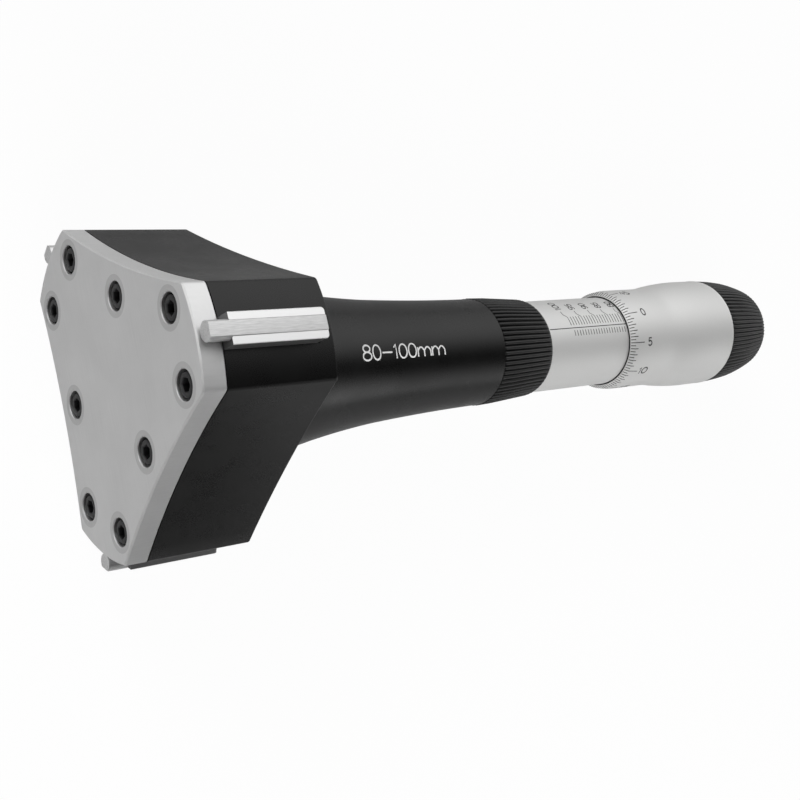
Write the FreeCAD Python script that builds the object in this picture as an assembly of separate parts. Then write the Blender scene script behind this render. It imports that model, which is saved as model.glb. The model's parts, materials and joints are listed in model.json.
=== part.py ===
import FreeCAD, Part
import math
import os

from FreeCAD import Vector

# A three-point micrometer for bores of 80 to 100 mm, lying on a bench.
# A cone is pushed forward by a micrometer screw and spreads three anvils, 120 degrees apart.
# Every piece is first modelled standing in the instrument's own frame, in millimetres:
#   x runs along the instrument's axis, from the front plate's face (x = 0) towards the knob,
#   z points out along the upper anvil, and "out" below means away from the axis.
# The whole instrument is then tilted and set down as it rests on the bench.

# Measuring range. The reading is the diameter over the three contact bars.
READING_REST = 79.515
READING_TOP = 100.0
CONE_SLOPE = 0.5
CONE_TRAVEL = READING_TOP - READING_REST
ANVIL_TRAVEL = CONE_TRAVEL * CONE_SLOPE
CONTACT_RADIUS = READING_REST / 2

# Clearances
SLIDE_GAP = 0.04
TURN_GAP = 0.05
THREAD_GAP = 0.04
FACE_GAP = 0.1

# Contact bars, let into a round groove in each block and ground to a gauge radius
BAR_RADIUS = 1.95
BAR_SINK = 1.25
BAR_PROUD = 0.16
BAR_FRONT = 0.5
BAR_BEVEL = 0.12
GRIND_RADIUS = 39.0
BLOCK_TOP = CONTACT_RADIUS - BAR_PROUD
BAR_CENTRE = BLOCK_TOP - BAR_SINK

# Head: a three-cornered block behind a steel front plate. The bars just clear the plate's corners.
BAR_CLEARANCE = 0.1975
CORNER_RADIUS = BAR_CENTRE - BAR_RADIUS - BAR_CLEARANCE
CORNER_HALF_ANGLE = 16.1
SIDE_NEAR = 24.35
CORNER_ROUNDING = 0.5
PLATE_THICKNESS = 5.0
PLATE_BEVEL = 0.4
BODY_LENGTH = 24.0
BODY_BEVEL = 0.3
REAR_WALL = 3.25
HEAD_REAR = PLATE_THICKNESS + BODY_LENGTH
BOSS_WALL = 2.4
BOSS_LENGTH = 6.0
BOSS_END = HEAD_REAR + BOSS_LENGTH

# Anvil blocks: a stem with a T-shaped foot, and a heel that rides on the cone
ANVIL_SPACING = 120.0
ANVIL_ANGLES = {"a": 0.0, "b": ANVIL_SPACING, "c": -ANVIL_SPACING}
STEM_WIDTH = 6.0
STEM_END = HEAD_REAR - REAR_WALL - TURN_GAP
STEM_ROUNDING = 0.8
INNER_FACE = 1.8
HEEL_SETBACK = 0.3
HEEL_RELIEF = 0.4
HEEL_START = STEM_END + HEEL_SETBACK
HEEL_END = HEAD_REAR - HEEL_RELIEF
HEEL_HEIGHT = 4.0
FOOT_WIDTH = 12.0
FOOT_INNER = 8.0
FOOT_OUTER = 13.0
FOOT_MARGIN = 0.36

# Return springs, one on each side of every anvil stem
SPRING_STATION = 19.0
SPRING_SIDE = 4.55
SPRING_COIL_RADIUS = 1.15
SPRING_WIRE = 0.44
SPRING_TURNS = 5
SPRING_STEPS = 6
POCKET_RADIUS = 1.5
POCKET_WALL = 4.2
POCKET_END = CORNER_RADIUS - POCKET_WALL

# Socket head screws in the front plate
SCREW_RADIUS = 1.5
SCREW_REACH = 10.0
SCREW_HEAD_RADIUS = 2.75
SCREW_HEAD_HEIGHT = 3.0
SOCKET_FLATS = 2.5
SOCKET_DEPTH = 1.6
COUNTERBORE_RADIUS = 2.95
COUNTERBORE_DEPTH = 3.2
HOLE_RADIUS = 1.65
TAPPED_DEPTH = 9.0
CORNER_SCREW_INSET = 6.7
CORNER_SCREW_CIRCLE = CORNER_RADIUS - CORNER_SCREW_INSET
CORNER_SCREW_ANGLE = 14.0
SIDE_SCREW_CIRCLE = 17.8
SIDE_SCREW_ANGLE = ANVIL_SPACING / 2

# Cone, with a guide land behind it that fits the bore of the head and the handle
CONE_TIP_GAP = 0.02
CONE_BIG = INNER_FACE + CONE_SLOPE * (HEEL_END + CONE_TRAVEL - HEEL_START)
LAND_STEP = 0.2
LAND_RADIUS = CONE_BIG + LAND_STEP
LAND_LENGTH = 3.2
BORE_RADIUS = LAND_RADIUS + TURN_GAP
LAND_START = HEEL_END + CONE_TRAVEL + LAND_STEP
LAND_END = LAND_START + LAND_LENGTH
CUP_RADIUS = 7.5
CUP_DEPTH = 8.3
CUP_FLOOR = LAND_END - CUP_DEPTH
BALL_RADIUS = 2.5
BALL_SUNK = 3.0
BOSS_RADIUS = BORE_RADIUS + BOSS_WALL

# Barrel and graduated sleeve: the sleeve is pushed over the barrel
BARREL_START = 76.0
BARREL_RADIUS = 9.8
BARREL_WALL = 1.8
BARREL_BORE = BARREL_RADIUS - BARREL_WALL
SLEEVE_WALL = 1.85
SLEEVE_RADIUS = BARREL_RADIUS + SLEEVE_WALL

# Handle: a flared black tube with a neck for the knurled collar. Radii of its curve are over the waist's.
HANDLE_FRONT_RADIUS = 18.9
NECK_WALL = 1.5
NECK_RADIUS = BARREL_RADIUS + NECK_WALL
NECK_END = 108.0
WAIST_STEP = 1.75
WAIST_RADIUS = NECK_RADIUS + WAIST_STEP
HANDLE_CURVE = [(47.5, 2.78), (66.0, 0.88), (80.0, 0.31)]
COLLAR_START = 95.2
BORE_CLEARANCE = 0.8
BORE_END = LAND_END + BORE_CLEARANCE
BUSH_STEP = 0.8
BUSH_RADIUS = BARREL_RADIUS - BUSH_STEP
BUSH_SETBACK = 1.7
BUSH_START = BORE_END + BUSH_SETBACK
BUSH_LENGTH = 15.0

# Knurled collar: places along it, and how far its ridges stand over the sleeve
COLLAR_END = 112.5
COLLAR_PROFILE = [(0.0, 1.45), (4.4, 1.4), (16.3, 0.6), (17.3, 0.25)]
COLLAR_RIDGES = 66
KNURL_DEPTH = 0.4

# Micrometer screw and its nut, in the rear of the barrel
THIMBLE_FRONT = 141.5
THIMBLE_WALL_START = 176.0
THIMBLE_END = 182.7
END_CLEARANCE = 0.7
BARREL_END = THIMBLE_WALL_START - CONE_TRAVEL - END_CLEARANCE
NUT_LENGTH = 30.0
ADJUSTER_LENGTH = 5.0
ADJUSTER_BORE = 5.3
ADJUSTER_SLOT_WIDTH = 1.6
ADJUSTER_SLOT_DEPTH = 1.2
ROD_RADIUS = 4.0
ROD_TIP_RADIUS = 2.2
SCREW_THREAD_RADIUS = 4.75
THREAD_START = 117.0
THREAD_END = 172.0
SEAT_RADIUS_FRONT = 5.0
SEAT_RADIUS_REAR = 4.4
STUD_RADIUS = 3.5

# Thimble: a bevelled lip, a narrow graduated band and a wider grip. Radii are over the sleeve's.
LIP_PROFILE = [(0.0, 0.55), (1.2, 1.31), (3.9, 1.68)]
BAND_END = 158.6
GRIP_START = 171.4
GRIP_STEP = 3.1
GRIP_RADIUS = SLEEVE_RADIUS + GRIP_STEP
THIMBLE_GAP = 0.07
THIMBLE_BORE = SLEEVE_RADIUS + THIMBLE_GAP
WIPER_LENGTH = 1.3
WIPER_PROUD = 0.12
WIPER_GAP = 0.03
WIPER_STEP = 0.3
WIPER_RADIUS = SLEEVE_RADIUS + WIPER_STEP

# Ratchet, inside the knurled knob
NUT_RADIUS = 8.0
NUT_THICKNESS = 2.5
HUB_RADIUS = 9.0
HUB_START = THIMBLE_END + NUT_THICKNESS + FACE_GAP
HUB_THICKNESS = 2.0
TOOTH_COUNT = 12
TOOTH_HEIGHT = 0.8
TOOTH_INNER_RADIUS = 5.4
TOOTH_OVERCUT = 1.2
TOOTH_GAP = 0.06
RING_THICKNESS = 2.2
RING_BORE = 4.4
LUG_WIDTH = 2.4
LUG_HEIGHT = 1.2
WEB_SETBACK = 12.5
WEB_START = THIMBLE_END + WEB_SETBACK
WEB_THICKNESS = 2.2
RETAINER_RADIUS = 5.8
RETAINER_THICKNESS = 2.0
RETAINER_SHANK_RADIUS = 1.75
RETAINER_SHANK_LENGTH = 8.0
RATCHET_WIRE = 0.8
RATCHET_COIL_RADIUS = 6.4
RATCHET_TURNS = 3
RATCHET_STEPS = 10

# Knob
KNOB_START = THIMBLE_END + FACE_GAP
KNOB_FALL = [(0.0, 0.0), (5.2, 0.29), (11.8, 1.1), (18.7, 2.9), (20.6, 4.05), (21.9, 5.45)]
KNOB_PROFILE = [(x, GRIP_RADIUS - fall) for x, fall in KNOB_FALL]
KNOB_RIDGES = 74
KNOB_END = KNOB_START + KNOB_PROFILE[-1][0]
CAP_BORE = 6.6
CAP_SPIGOT = 3.0
CAP_RIM_RADIUS = KNOB_PROFILE[-1][1] - KNURL_DEPTH
CAP_THICKNESS = 1.1
CAP_BEVEL = 0.6

TINY = 1e-6
X_AXIS = Vector(1, 0, 0)
ORIGIN = Vector(0, 0, 0)


def polar(x, radius, angle):
    """A point at a distance from the axis, at an angle in degrees from the upper anvil."""
    a = math.radians(angle)
    return Vector(x, -radius * math.sin(a), radius * math.cos(a))


def turned(outline):
    """A turned solid. The outline lists (x, radius) corners, and ("arc", middle, end) for a round stretch."""
    edges = []
    here = None
    for item in outline + [outline[0]]:
        if item[0] == "arc":
            middle, corner = (Vector(x, 0, r) for x, r in item[1:])
            edges.append(Part.Arc(here, middle, corner).toShape())
        else:
            corner = Vector(item[0], 0, item[1])
            if here is not None:
                edges.append(Part.makeLine(here, corner))
        here = corner
    return Part.Face(Part.Wire(edges)).revolve(ORIGIN, X_AXIS, 360)


def rod(start, end, radius):
    return Part.makeCylinder(radius, end - start, Vector(start, 0, 0), X_AXIS)


def tube(start, end, inner, outer):
    return turned([(start, inner), (end, inner), (end, outer), (start, outer)])


def block(x0, x1, half_width, z0, z1):
    return Part.makeBox(x1 - x0, 2 * half_width, z1 - z0, Vector(x0, -half_width, z0))


def spun(shape, angle):
    """The shape turned about the instrument's axis, from the upper anvil's place."""
    turned_copy = shape.copy()
    turned_copy.rotate(ORIGIN, X_AXIS, angle)
    return turned_copy


def star(x, radius, depth, ridges):
    """Closed outline of a straight knurl, with one ridge pointing straight down."""
    corners = []
    for i in range(2 * ridges):
        r = radius - (depth if i % 2 else 0)
        corners.append(polar(x, r, 180 + 180.0 * i / ridges))
    return Part.makePolygon(corners + [corners[0]])


def knurled(start, profile, ridges):
    """A knurled solid whose ridges follow a profile of (distance, radius) stations."""
    wires = [star(start + x, r, KNURL_DEPTH, ridges) for x, r in profile]
    return Part.makeLoft(wires, True, True)


def face(*corners):
    return Part.Face(Part.makePolygon(list(corners) + [corners[0]]))


def coil(x, y, z0, z1, radius, wire, turns, steps):
    """A spring of square wire that stands on a point and runs out along z, in straight stretches."""
    stretches = round(turns * steps)
    sections = []
    for i in range(stretches + 1):
        a = 2 * math.pi * i / steps
        z = z0 + (z1 - z0 - wire) * i / stretches
        corners = ((radius - wire / 2, z), (radius + wire / 2, z), (radius + wire / 2, z + wire),
                   (radius - wire / 2, z + wire))
        sections.append([Vector(x + r * math.cos(a), y + r * math.sin(a), h) for r, h in corners])
    faces = [face(*sections[0]), face(*sections[-1])]
    for here, there in zip(sections, sections[1:]):
        faces.append(face(here[1], there[1], there[2], here[2]))
        faces.append(face(here[3], there[3], there[0], here[0]))
        for i, k in ((0, 1), (2, 3)):
            faces.append(face(here[i], here[k], there[k]))
            faces.append(face(here[i], there[k], there[i]))
    return Part.makeSolid(Part.makeShell(faces))


def head_outline(x):
    """Three corner arcs about the axis, joined by three slightly hollow sides."""
    edges = []
    for centre in ANVIL_ANGLES.values():
        low, high = centre - CORNER_HALF_ANGLE, centre + CORNER_HALF_ANGLE
        corner = [polar(x, CORNER_RADIUS, a) for a in (low, centre, high)]
        side = [
            corner[2],
            polar(x, SIDE_NEAR, centre + ANVIL_SPACING / 2),
            polar(x, CORNER_RADIUS, low + ANVIL_SPACING),
        ]
        edges.append(Part.Arc(*corner).toShape())
        edges.append(Part.Arc(*side).toShape())
    return Part.Wire(edges)


def head_blank(start, length):
    """A length of the head's outline with its six long edges rounded."""
    blank = Part.Face(head_outline(start)).extrude(Vector(length, 0, 0))
    long_edges = [e for e in blank.Edges if abs(e.BoundBox.XLength - length) < TINY]
    return blank.makeFillet(CORNER_ROUNDING, long_edges)


def rim(shape, x):
    """The edges of a shape that lie in one plane across the axis."""
    return [e for e in shape.Edges if abs(e.BoundBox.XMin - x) < TINY and e.BoundBox.XLength < TINY]


def screw_places():
    """Circle radius and angle of each plate screw: two at every anvil and one at every side."""
    places = []
    for angle in ANVIL_ANGLES.values():
        for side in (-CORNER_SCREW_ANGLE, CORNER_SCREW_ANGLE):
            places.append((CORNER_SCREW_CIRCLE, angle + side))
        places.append((SIDE_SCREW_CIRCLE, angle + SIDE_SCREW_ANGLE))
    return places


def make_front_plate():
    plate = head_blank(0, PLATE_THICKNESS)
    plate = plate.makeChamfer(PLATE_BEVEL, rim(plate, 0))
    for radius, angle in screw_places():
        place = polar(0, radius, angle)
        hole = rod(0, COUNTERBORE_DEPTH, COUNTERBORE_RADIUS).fuse(rod(0, PLATE_THICKNESS, HOLE_RADIUS))
        hole.translate(place)
        plate = plate.cut(hole)
    return plate


def make_plate_screws():
    top = COUNTERBORE_DEPTH - SCREW_HEAD_HEIGHT
    head = rod(top, COUNTERBORE_DEPTH, SCREW_HEAD_RADIUS)
    shank = rod(COUNTERBORE_DEPTH, COUNTERBORE_DEPTH + SCREW_REACH, SCREW_RADIUS)
    across_corners = SOCKET_FLATS / math.cos(math.radians(30)) / 2
    socket = face(*(polar(top, across_corners, 60 * i) for i in range(6))).extrude(Vector(SOCKET_DEPTH, 0, 0))
    screw = head.fuse(shank).cut(socket)
    screws = []
    for radius, angle in screw_places():
        one = screw.copy()
        one.translate(polar(0, radius, angle))
        screws.append(one)
    return Part.makeCompound(screws)


def make_head_body():
    body = head_blank(PLATE_THICKNESS, BODY_LENGTH)
    body = body.makeChamfer(BODY_BEVEL, rim(body, HEAD_REAR))
    body = body.fuse(rod(HEAD_REAR, BOSS_END, BOSS_RADIUS))
    body = body.cut(rod(PLATE_THICKNESS, BOSS_END, BORE_RADIUS))
    slot_rear = HEAD_REAR - REAR_WALL
    foot_room = FOOT_OUTER + ANVIL_TRAVEL + FOOT_MARGIN
    heel_room = heel_top() + ANVIL_TRAVEL + FOOT_MARGIN
    stem_room = STEM_WIDTH / 2 + SLIDE_GAP
    slot = block(PLATE_THICKNESS, slot_rear, stem_room, 0, BLOCK_TOP)
    slot = slot.fuse(block(PLATE_THICKNESS, slot_rear, FOOT_WIDTH / 2 + SLIDE_GAP, 0, foot_room))
    slot = slot.fuse(block(slot_rear, HEAD_REAR, stem_room, 0, heel_room))
    for side in (-SPRING_SIDE, SPRING_SIDE):
        foot_of_pocket = Vector(SPRING_STATION, side, FOOT_INNER)
        slot = slot.fuse(Part.makeCylinder(POCKET_RADIUS, POCKET_END - FOOT_INNER, foot_of_pocket))
    for angle in ANVIL_ANGLES.values():
        body = body.cut(spun(slot, angle))
    for radius, angle in screw_places():
        tapped = Part.makeCylinder(
            SCREW_RADIUS, TAPPED_DEPTH, polar(PLATE_THICKNESS, radius, angle), X_AXIS
        )
        body = body.cut(tapped)
    return body


def heel_top():
    """How far out the top of an anvil's heel lies at rest."""
    return INNER_FACE + HEEL_HEIGHT


def heel_lift():
    """How much further out the sloping face lies at the heel's end than at its start."""
    return CONE_SLOPE * (HEEL_END - HEEL_START)


def contact_bar():
    """A ground carbide bar, rounded on its gauging side to less than the smallest bore."""
    bar = Part.makeCylinder(BAR_RADIUS, STEM_END - BAR_FRONT, Vector(BAR_FRONT, 0, BAR_CENTRE), X_AXIS)
    bar = bar.makeChamfer(BAR_BEVEL, rim(bar, BAR_FRONT))
    ground = Part.makeCylinder(
        GRIND_RADIUS, STEM_END - BAR_FRONT, Vector(BAR_FRONT, 0, CONTACT_RADIUS - GRIND_RADIUS), X_AXIS
    )
    return bar.common(ground)


def anvil_block():
    """A T-shaped slider: stem, foot and heel in one piece, with a groove for the contact bar."""
    front = PLATE_THICKNESS + TURN_GAP
    side = [
        (front, INNER_FACE), (HEEL_START, INNER_FACE), (HEEL_END, INNER_FACE + heel_lift()),
        (HEEL_END, heel_top()), (STEM_END, heel_top()), (STEM_END, BLOCK_TOP), (front, BLOCK_TOP),
    ]
    stem = face(*(Vector(x, -STEM_WIDTH / 2, z) for x, z in side)).extrude(Vector(0, STEM_WIDTH, 0))
    rear_edges = [
        e for e in stem.Edges
        if abs(e.BoundBox.XMin - STEM_END) < TINY and e.BoundBox.XLength < TINY and e.BoundBox.YLength < TINY
    ]
    stem = stem.makeFillet(STEM_ROUNDING, rear_edges)
    stem = stem.fuse(block(front, STEM_END, FOOT_WIDTH / 2, FOOT_INNER, FOOT_OUTER))
    groove = Part.makeCylinder(BAR_RADIUS, HEAD_REAR, Vector(0, 0, BAR_CENTRE), X_AXIS)
    return stem.cut(groove)


def anvil_springs():
    springs = []
    for side in (-SPRING_SIDE, SPRING_SIDE):
        springs.append(coil(
            SPRING_STATION, side, FOOT_OUTER + FACE_GAP, POCKET_END,
            SPRING_COIL_RADIUS, SPRING_WIRE, SPRING_TURNS, SPRING_STEPS,
        ))
    return Part.makeCompound(springs)


def make_cone():
    nose = HEEL_START + TURN_GAP
    nose_radius = INNER_FACE - CONE_TIP_GAP + CONE_SLOPE * TURN_GAP
    cone_end = LAND_START - LAND_STEP
    seat = BALL_RADIUS + THREAD_GAP
    return turned([
        (nose, 0), (nose, nose_radius), (cone_end, CONE_BIG - CONE_TIP_GAP), (LAND_START, LAND_RADIUS),
        (LAND_END, LAND_RADIUS), (LAND_END, CUP_RADIUS), (CUP_FLOOR, CUP_RADIUS),
        (CUP_FLOOR, seat), (CUP_FLOOR - BALL_SUNK, seat), (CUP_FLOOR - BALL_SUNK, 0),
    ])


def ball_centre():
    return CUP_FLOOR - BALL_SUNK + BALL_RADIUS


def make_thrust_ball():
    return Part.makeSphere(BALL_RADIUS, Vector(ball_centre(), 0, 0))


def make_handle():
    flare, flare_end, waist = ((x, WAIST_RADIUS + over) for x, over in HANDLE_CURVE)
    return turned([
        (HEAD_REAR, BOSS_RADIUS), (HEAD_REAR, HANDLE_FRONT_RADIUS), ("arc", flare, flare_end),
        ("arc", waist, (COLLAR_START, WAIST_RADIUS)), (COLLAR_START, NECK_RADIUS),
        (NECK_END, NECK_RADIUS), (NECK_END, BARREL_RADIUS),
        (BARREL_START, BARREL_RADIUS), (BARREL_START, BUSH_RADIUS), (BORE_END, BUSH_RADIUS),
        (BORE_END, BORE_RADIUS), (BOSS_END, BORE_RADIUS), (BOSS_END, BOSS_RADIUS),
    ])


def make_guide_bush():
    return tube(BUSH_START, BUSH_START + BUSH_LENGTH, ROD_RADIUS + TURN_GAP, BUSH_RADIUS)


def make_collar():
    profile = [(x, SLEEVE_RADIUS + over) for x, over in COLLAR_PROFILE]
    collar = knurled(COLLAR_START, profile, COLLAR_RIDGES)
    collar = collar.cut(rod(COLLAR_START, NECK_END, NECK_RADIUS))
    return collar.cut(rod(NECK_END, COLLAR_END, SLEEVE_RADIUS))


def make_barrel():
    return tube(BARREL_START, BARREL_END, BARREL_BORE, BARREL_RADIUS)


def make_sleeve():
    return tube(NECK_END, BARREL_END, BARREL_RADIUS, SLEEVE_RADIUS)


def adjuster_start():
    return BARREL_END - ADJUSTER_LENGTH


def make_spindle_nut():
    end = adjuster_start()
    return tube(end - NUT_LENGTH, end, SCREW_THREAD_RADIUS + THREAD_GAP, BARREL_BORE)


def make_adjusting_nut():
    ring = tube(adjuster_start(), BARREL_END, ADJUSTER_BORE, BARREL_BORE)
    slot = block(
        BARREL_END - ADJUSTER_SLOT_DEPTH, BARREL_END, ADJUSTER_SLOT_WIDTH / 2, -BARREL_RADIUS, BARREL_RADIUS
    )
    return ring.cut(slot)


def make_spindle():
    tip = ball_centre() + BALL_RADIUS + CONE_TIP_GAP
    shoulder = SCREW_THREAD_RADIUS - ROD_RADIUS
    tip_bevel = ROD_RADIUS - ROD_TIP_RADIUS
    stud = turned([
        (tip, 0), (tip, ROD_TIP_RADIUS), (tip + tip_bevel, ROD_RADIUS), (THREAD_START - shoulder, ROD_RADIUS),
        (THREAD_START, SCREW_THREAD_RADIUS), (THREAD_END, SCREW_THREAD_RADIUS),
        (THREAD_END, SEAT_RADIUS_FRONT), (THIMBLE_WALL_START, SEAT_RADIUS_FRONT),
        (THIMBLE_END, SEAT_RADIUS_REAR), (THIMBLE_END, STUD_RADIUS), (retainer_start(), STUD_RADIUS),
        (retainer_start(), 0),
    ])
    return stud.cut(rod(retainer_start() - RETAINER_SHANK_LENGTH, retainer_start(), RETAINER_SHANK_RADIUS))


def make_thimble():
    lip = [(THIMBLE_FRONT + x, SLEEVE_RADIUS + over) for x, over in LIP_PROFILE]
    wiper_seat = THIMBLE_FRONT + WIPER_LENGTH
    return turned(
        [(THIMBLE_FRONT, WIPER_RADIUS)] + lip + [
            (BAND_END, lip[-1][1]), (GRIP_START, GRIP_RADIUS), (THIMBLE_END, GRIP_RADIUS),
            (THIMBLE_END, SEAT_RADIUS_REAR), (THIMBLE_WALL_START, SEAT_RADIUS_FRONT),
            (THIMBLE_WALL_START, THIMBLE_BORE), (wiper_seat, THIMBLE_BORE), (wiper_seat, WIPER_RADIUS),
        ]
    )


def make_wiper_ring():
    return tube(
        THIMBLE_FRONT - WIPER_PROUD, THIMBLE_FRONT + WIPER_LENGTH, SLEEVE_RADIUS + WIPER_GAP, WIPER_RADIUS
    )


def make_thimble_nut():
    nut = tube(THIMBLE_END, THIMBLE_END + NUT_THICKNESS, STUD_RADIUS, NUT_RADIUS)
    slot = block(THIMBLE_END + NUT_THICKNESS / 2, THIMBLE_END + NUT_THICKNESS, ADJUSTER_SLOT_WIDTH / 2,
                 -NUT_RADIUS, NUT_RADIUS)
    return nut.cut(slot)


def saw_teeth(floor):
    """A ring of saw teeth on a plane across the axis. Each is a ramp that rises to a radial wall."""
    pitch = 360.0 / TOOTH_COUNT
    reach = TOOTH_OVERCUT * HUB_RADIUS
    height = TOOTH_HEIGHT * reach / HUB_RADIUS
    teeth = []
    for i in range(TOOTH_COUNT):
        middle = Vector(floor, 0, 0)
        low = polar(floor, reach, i * pitch)
        high = polar(floor, reach, (i + 1) * pitch)
        top = polar(floor + height, reach, (i + 1) * pitch)
        corners = [(middle, low, high), (middle, low, top), (low, high, top), (middle, high, top)]
        teeth.append(Part.makeSolid(Part.makeShell([face(*three) for three in corners])))
    return teeth


def make_ratchet_hub():
    floor = HUB_START + HUB_THICKNESS
    hub = tube(HUB_START, floor, STUD_RADIUS, HUB_RADIUS)
    crown = tube(floor, floor + TOOTH_HEIGHT, TOOTH_INNER_RADIUS, HUB_RADIUS)
    teeth = [crown.common(tooth) for tooth in saw_teeth(floor)]
    return hub.multiFuse(teeth).removeSplitter()


def ring_start():
    return HUB_START + HUB_THICKNESS + TOOTH_GAP


def make_ratchet_ring():
    start, end = ring_start(), ring_end()
    ring = tube(start, end, RING_BORE, HUB_RADIUS)
    lugs = block(start + TOOTH_HEIGHT, end, LUG_WIDTH / 2, -HUB_RADIUS - LUG_HEIGHT, HUB_RADIUS + LUG_HEIGHT)
    ring = ring.fuse(lugs.cut(rod(start, end, (RING_BORE + HUB_RADIUS) / 2)))
    relief = rod(start, start + TOOTH_HEIGHT, TOOTH_INNER_RADIUS)
    return ring.cut(relief).cut(Part.makeCompound(saw_teeth(start)))


def ring_end():
    return ring_start() + TOOTH_HEIGHT + RING_THICKNESS


def make_ratchet_spring():
    spring = coil(
        0, 0, ring_end() + FACE_GAP, WEB_START,
        RATCHET_COIL_RADIUS, RATCHET_WIRE, RATCHET_TURNS, RATCHET_STEPS,
    )
    spring.rotate(ORIGIN, Vector(0, 1, 0), 90)
    return spring


def retainer_start():
    return WEB_START + WEB_THICKNESS + FACE_GAP


def make_retaining_screw():
    start = retainer_start()
    head = rod(start, start + RETAINER_THICKNESS, RETAINER_RADIUS)
    shank = rod(start - RETAINER_SHANK_LENGTH, start, RETAINER_SHANK_RADIUS)
    slot = block(start + RETAINER_THICKNESS / 2, start + RETAINER_THICKNESS, ADJUSTER_SLOT_WIDTH / 2,
                 -RETAINER_RADIUS, RETAINER_RADIUS)
    return head.fuse(shank).cut(slot)


def make_knob():
    knob = knurled(KNOB_START, KNOB_PROFILE, KNOB_RIDGES)
    cavity = HUB_RADIUS + TURN_GAP
    keyway = block(HUB_START, WEB_START, LUG_WIDTH / 2 + SLIDE_GAP, -cavity - LUG_HEIGHT, cavity + LUG_HEIGHT)
    hollow = turned([
        (KNOB_START, 0), (KNOB_START, cavity), (WEB_START, cavity), (WEB_START, STUD_RADIUS + TURN_GAP),
        (WEB_START + WEB_THICKNESS, STUD_RADIUS + TURN_GAP), (WEB_START + WEB_THICKNESS, CAP_BORE),
        (KNOB_END, CAP_BORE), (KNOB_END, 0),
    ])
    return knob.cut(hollow).cut(keyway)


def make_knob_cap():
    """A bevelled plug that closes the knob behind the retaining screw."""
    end = KNOB_END + CAP_THICKNESS
    return turned([
        (KNOB_END - CAP_SPIGOT, 0), (KNOB_END - CAP_SPIGOT, CAP_BORE), (KNOB_END, CAP_BORE),
        (KNOB_END, CAP_RIM_RADIUS), (end - CAP_BEVEL, CAP_RIM_RADIUS), (end, CAP_RIM_RADIUS - CAP_BEVEL),
        (end, 0),
    ])


def build():
    pieces = {
        "head_body": make_head_body(),
        "front_plate": make_front_plate(),
        "plate_screws": make_plate_screws(),
        "cone": make_cone(),
        "thrust_ball": make_thrust_ball(),
        "handle_body": make_handle(),
        "guide_bush": make_guide_bush(),
        "coupling_collar": make_collar(),
        "barrel": make_barrel(),
        "graduated_sleeve": make_sleeve(),
        "spindle_nut": make_spindle_nut(),
        "adjusting_nut": make_adjusting_nut(),
        "spindle": make_spindle(),
        "thimble": make_thimble(),
        "wiper_ring": make_wiper_ring(),
        "thimble_nut": make_thimble_nut(),
        "ratchet_hub": make_ratchet_hub(),
        "ratchet_ring": make_ratchet_ring(),
        "ratchet_spring": make_ratchet_spring(),
        "retaining_screw": make_retaining_screw(),
        "ratchet_knob": make_knob(),
        "knob_cap": make_knob_cap(),
    }
    slider, bar, springs = anvil_block(), contact_bar(), anvil_springs()
    for name, angle in ANVIL_ANGLES.items():
        pieces["anvil_block_" + name] = spun(slider, angle)
        pieces["contact_bar_" + name] = spun(bar, angle)
        pieces["anvil_spring_" + name] = spun(springs, angle)
    return pieces


def rest_tilt():
    """The angle at which the instrument lies on its head's rear edge and its knob."""
    corner = math.radians(ANVIL_SPACING / 2 - CORNER_HALF_ANGLE)
    edge_height = CORNER_RADIUS * math.cos(corner)
    edge = HEAD_REAR - BODY_BEVEL
    slopes = [(edge_height - r) / (KNOB_START + x - edge) for x, r in KNOB_PROFILE]
    return math.degrees(math.atan(min(slopes)))


def lay_down(pieces):
    """Tilt the knob down to the bench and put the origin under the middle of the whole instrument."""
    tilt = rest_tilt()
    for shape in pieces.values():
        shape.rotate(ORIGIN, Vector(0, 1, 0), tilt)
    box = Part.makeCompound(list(pieces.values())).optimalBoundingBox(False)
    shift = Vector(-(box.XMin + box.XMax) / 2, -(box.YMin + box.YMax) / 2, -box.ZMin)
    for shape in pieces.values():
        shape.translate(shift)
    print("tilt_deg %.9f shift_mm %.9f %.9f %.9f" % (tilt, shift.x, shift.y, shift.z))


def main():
    os.makedirs("parts", exist_ok=True)
    pieces = build()
    lay_down(pieces)
    for name, shape in pieces.items():
        if not shape.isValid():
            print("not valid:", name)
        counts = (name, len(shape.Solids), len(shape.Faces), shape.Volume)
        print("%-18s solids %d faces %4d volume %.1f" % counts)
        shape.exportStep("parts/%s.step" % name)


main()
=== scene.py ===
import json
import math

import bmesh
import bpy
from bmesh.types import BMEdge, BMFace, BMVert
from mathutils import Matrix, Vector


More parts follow.
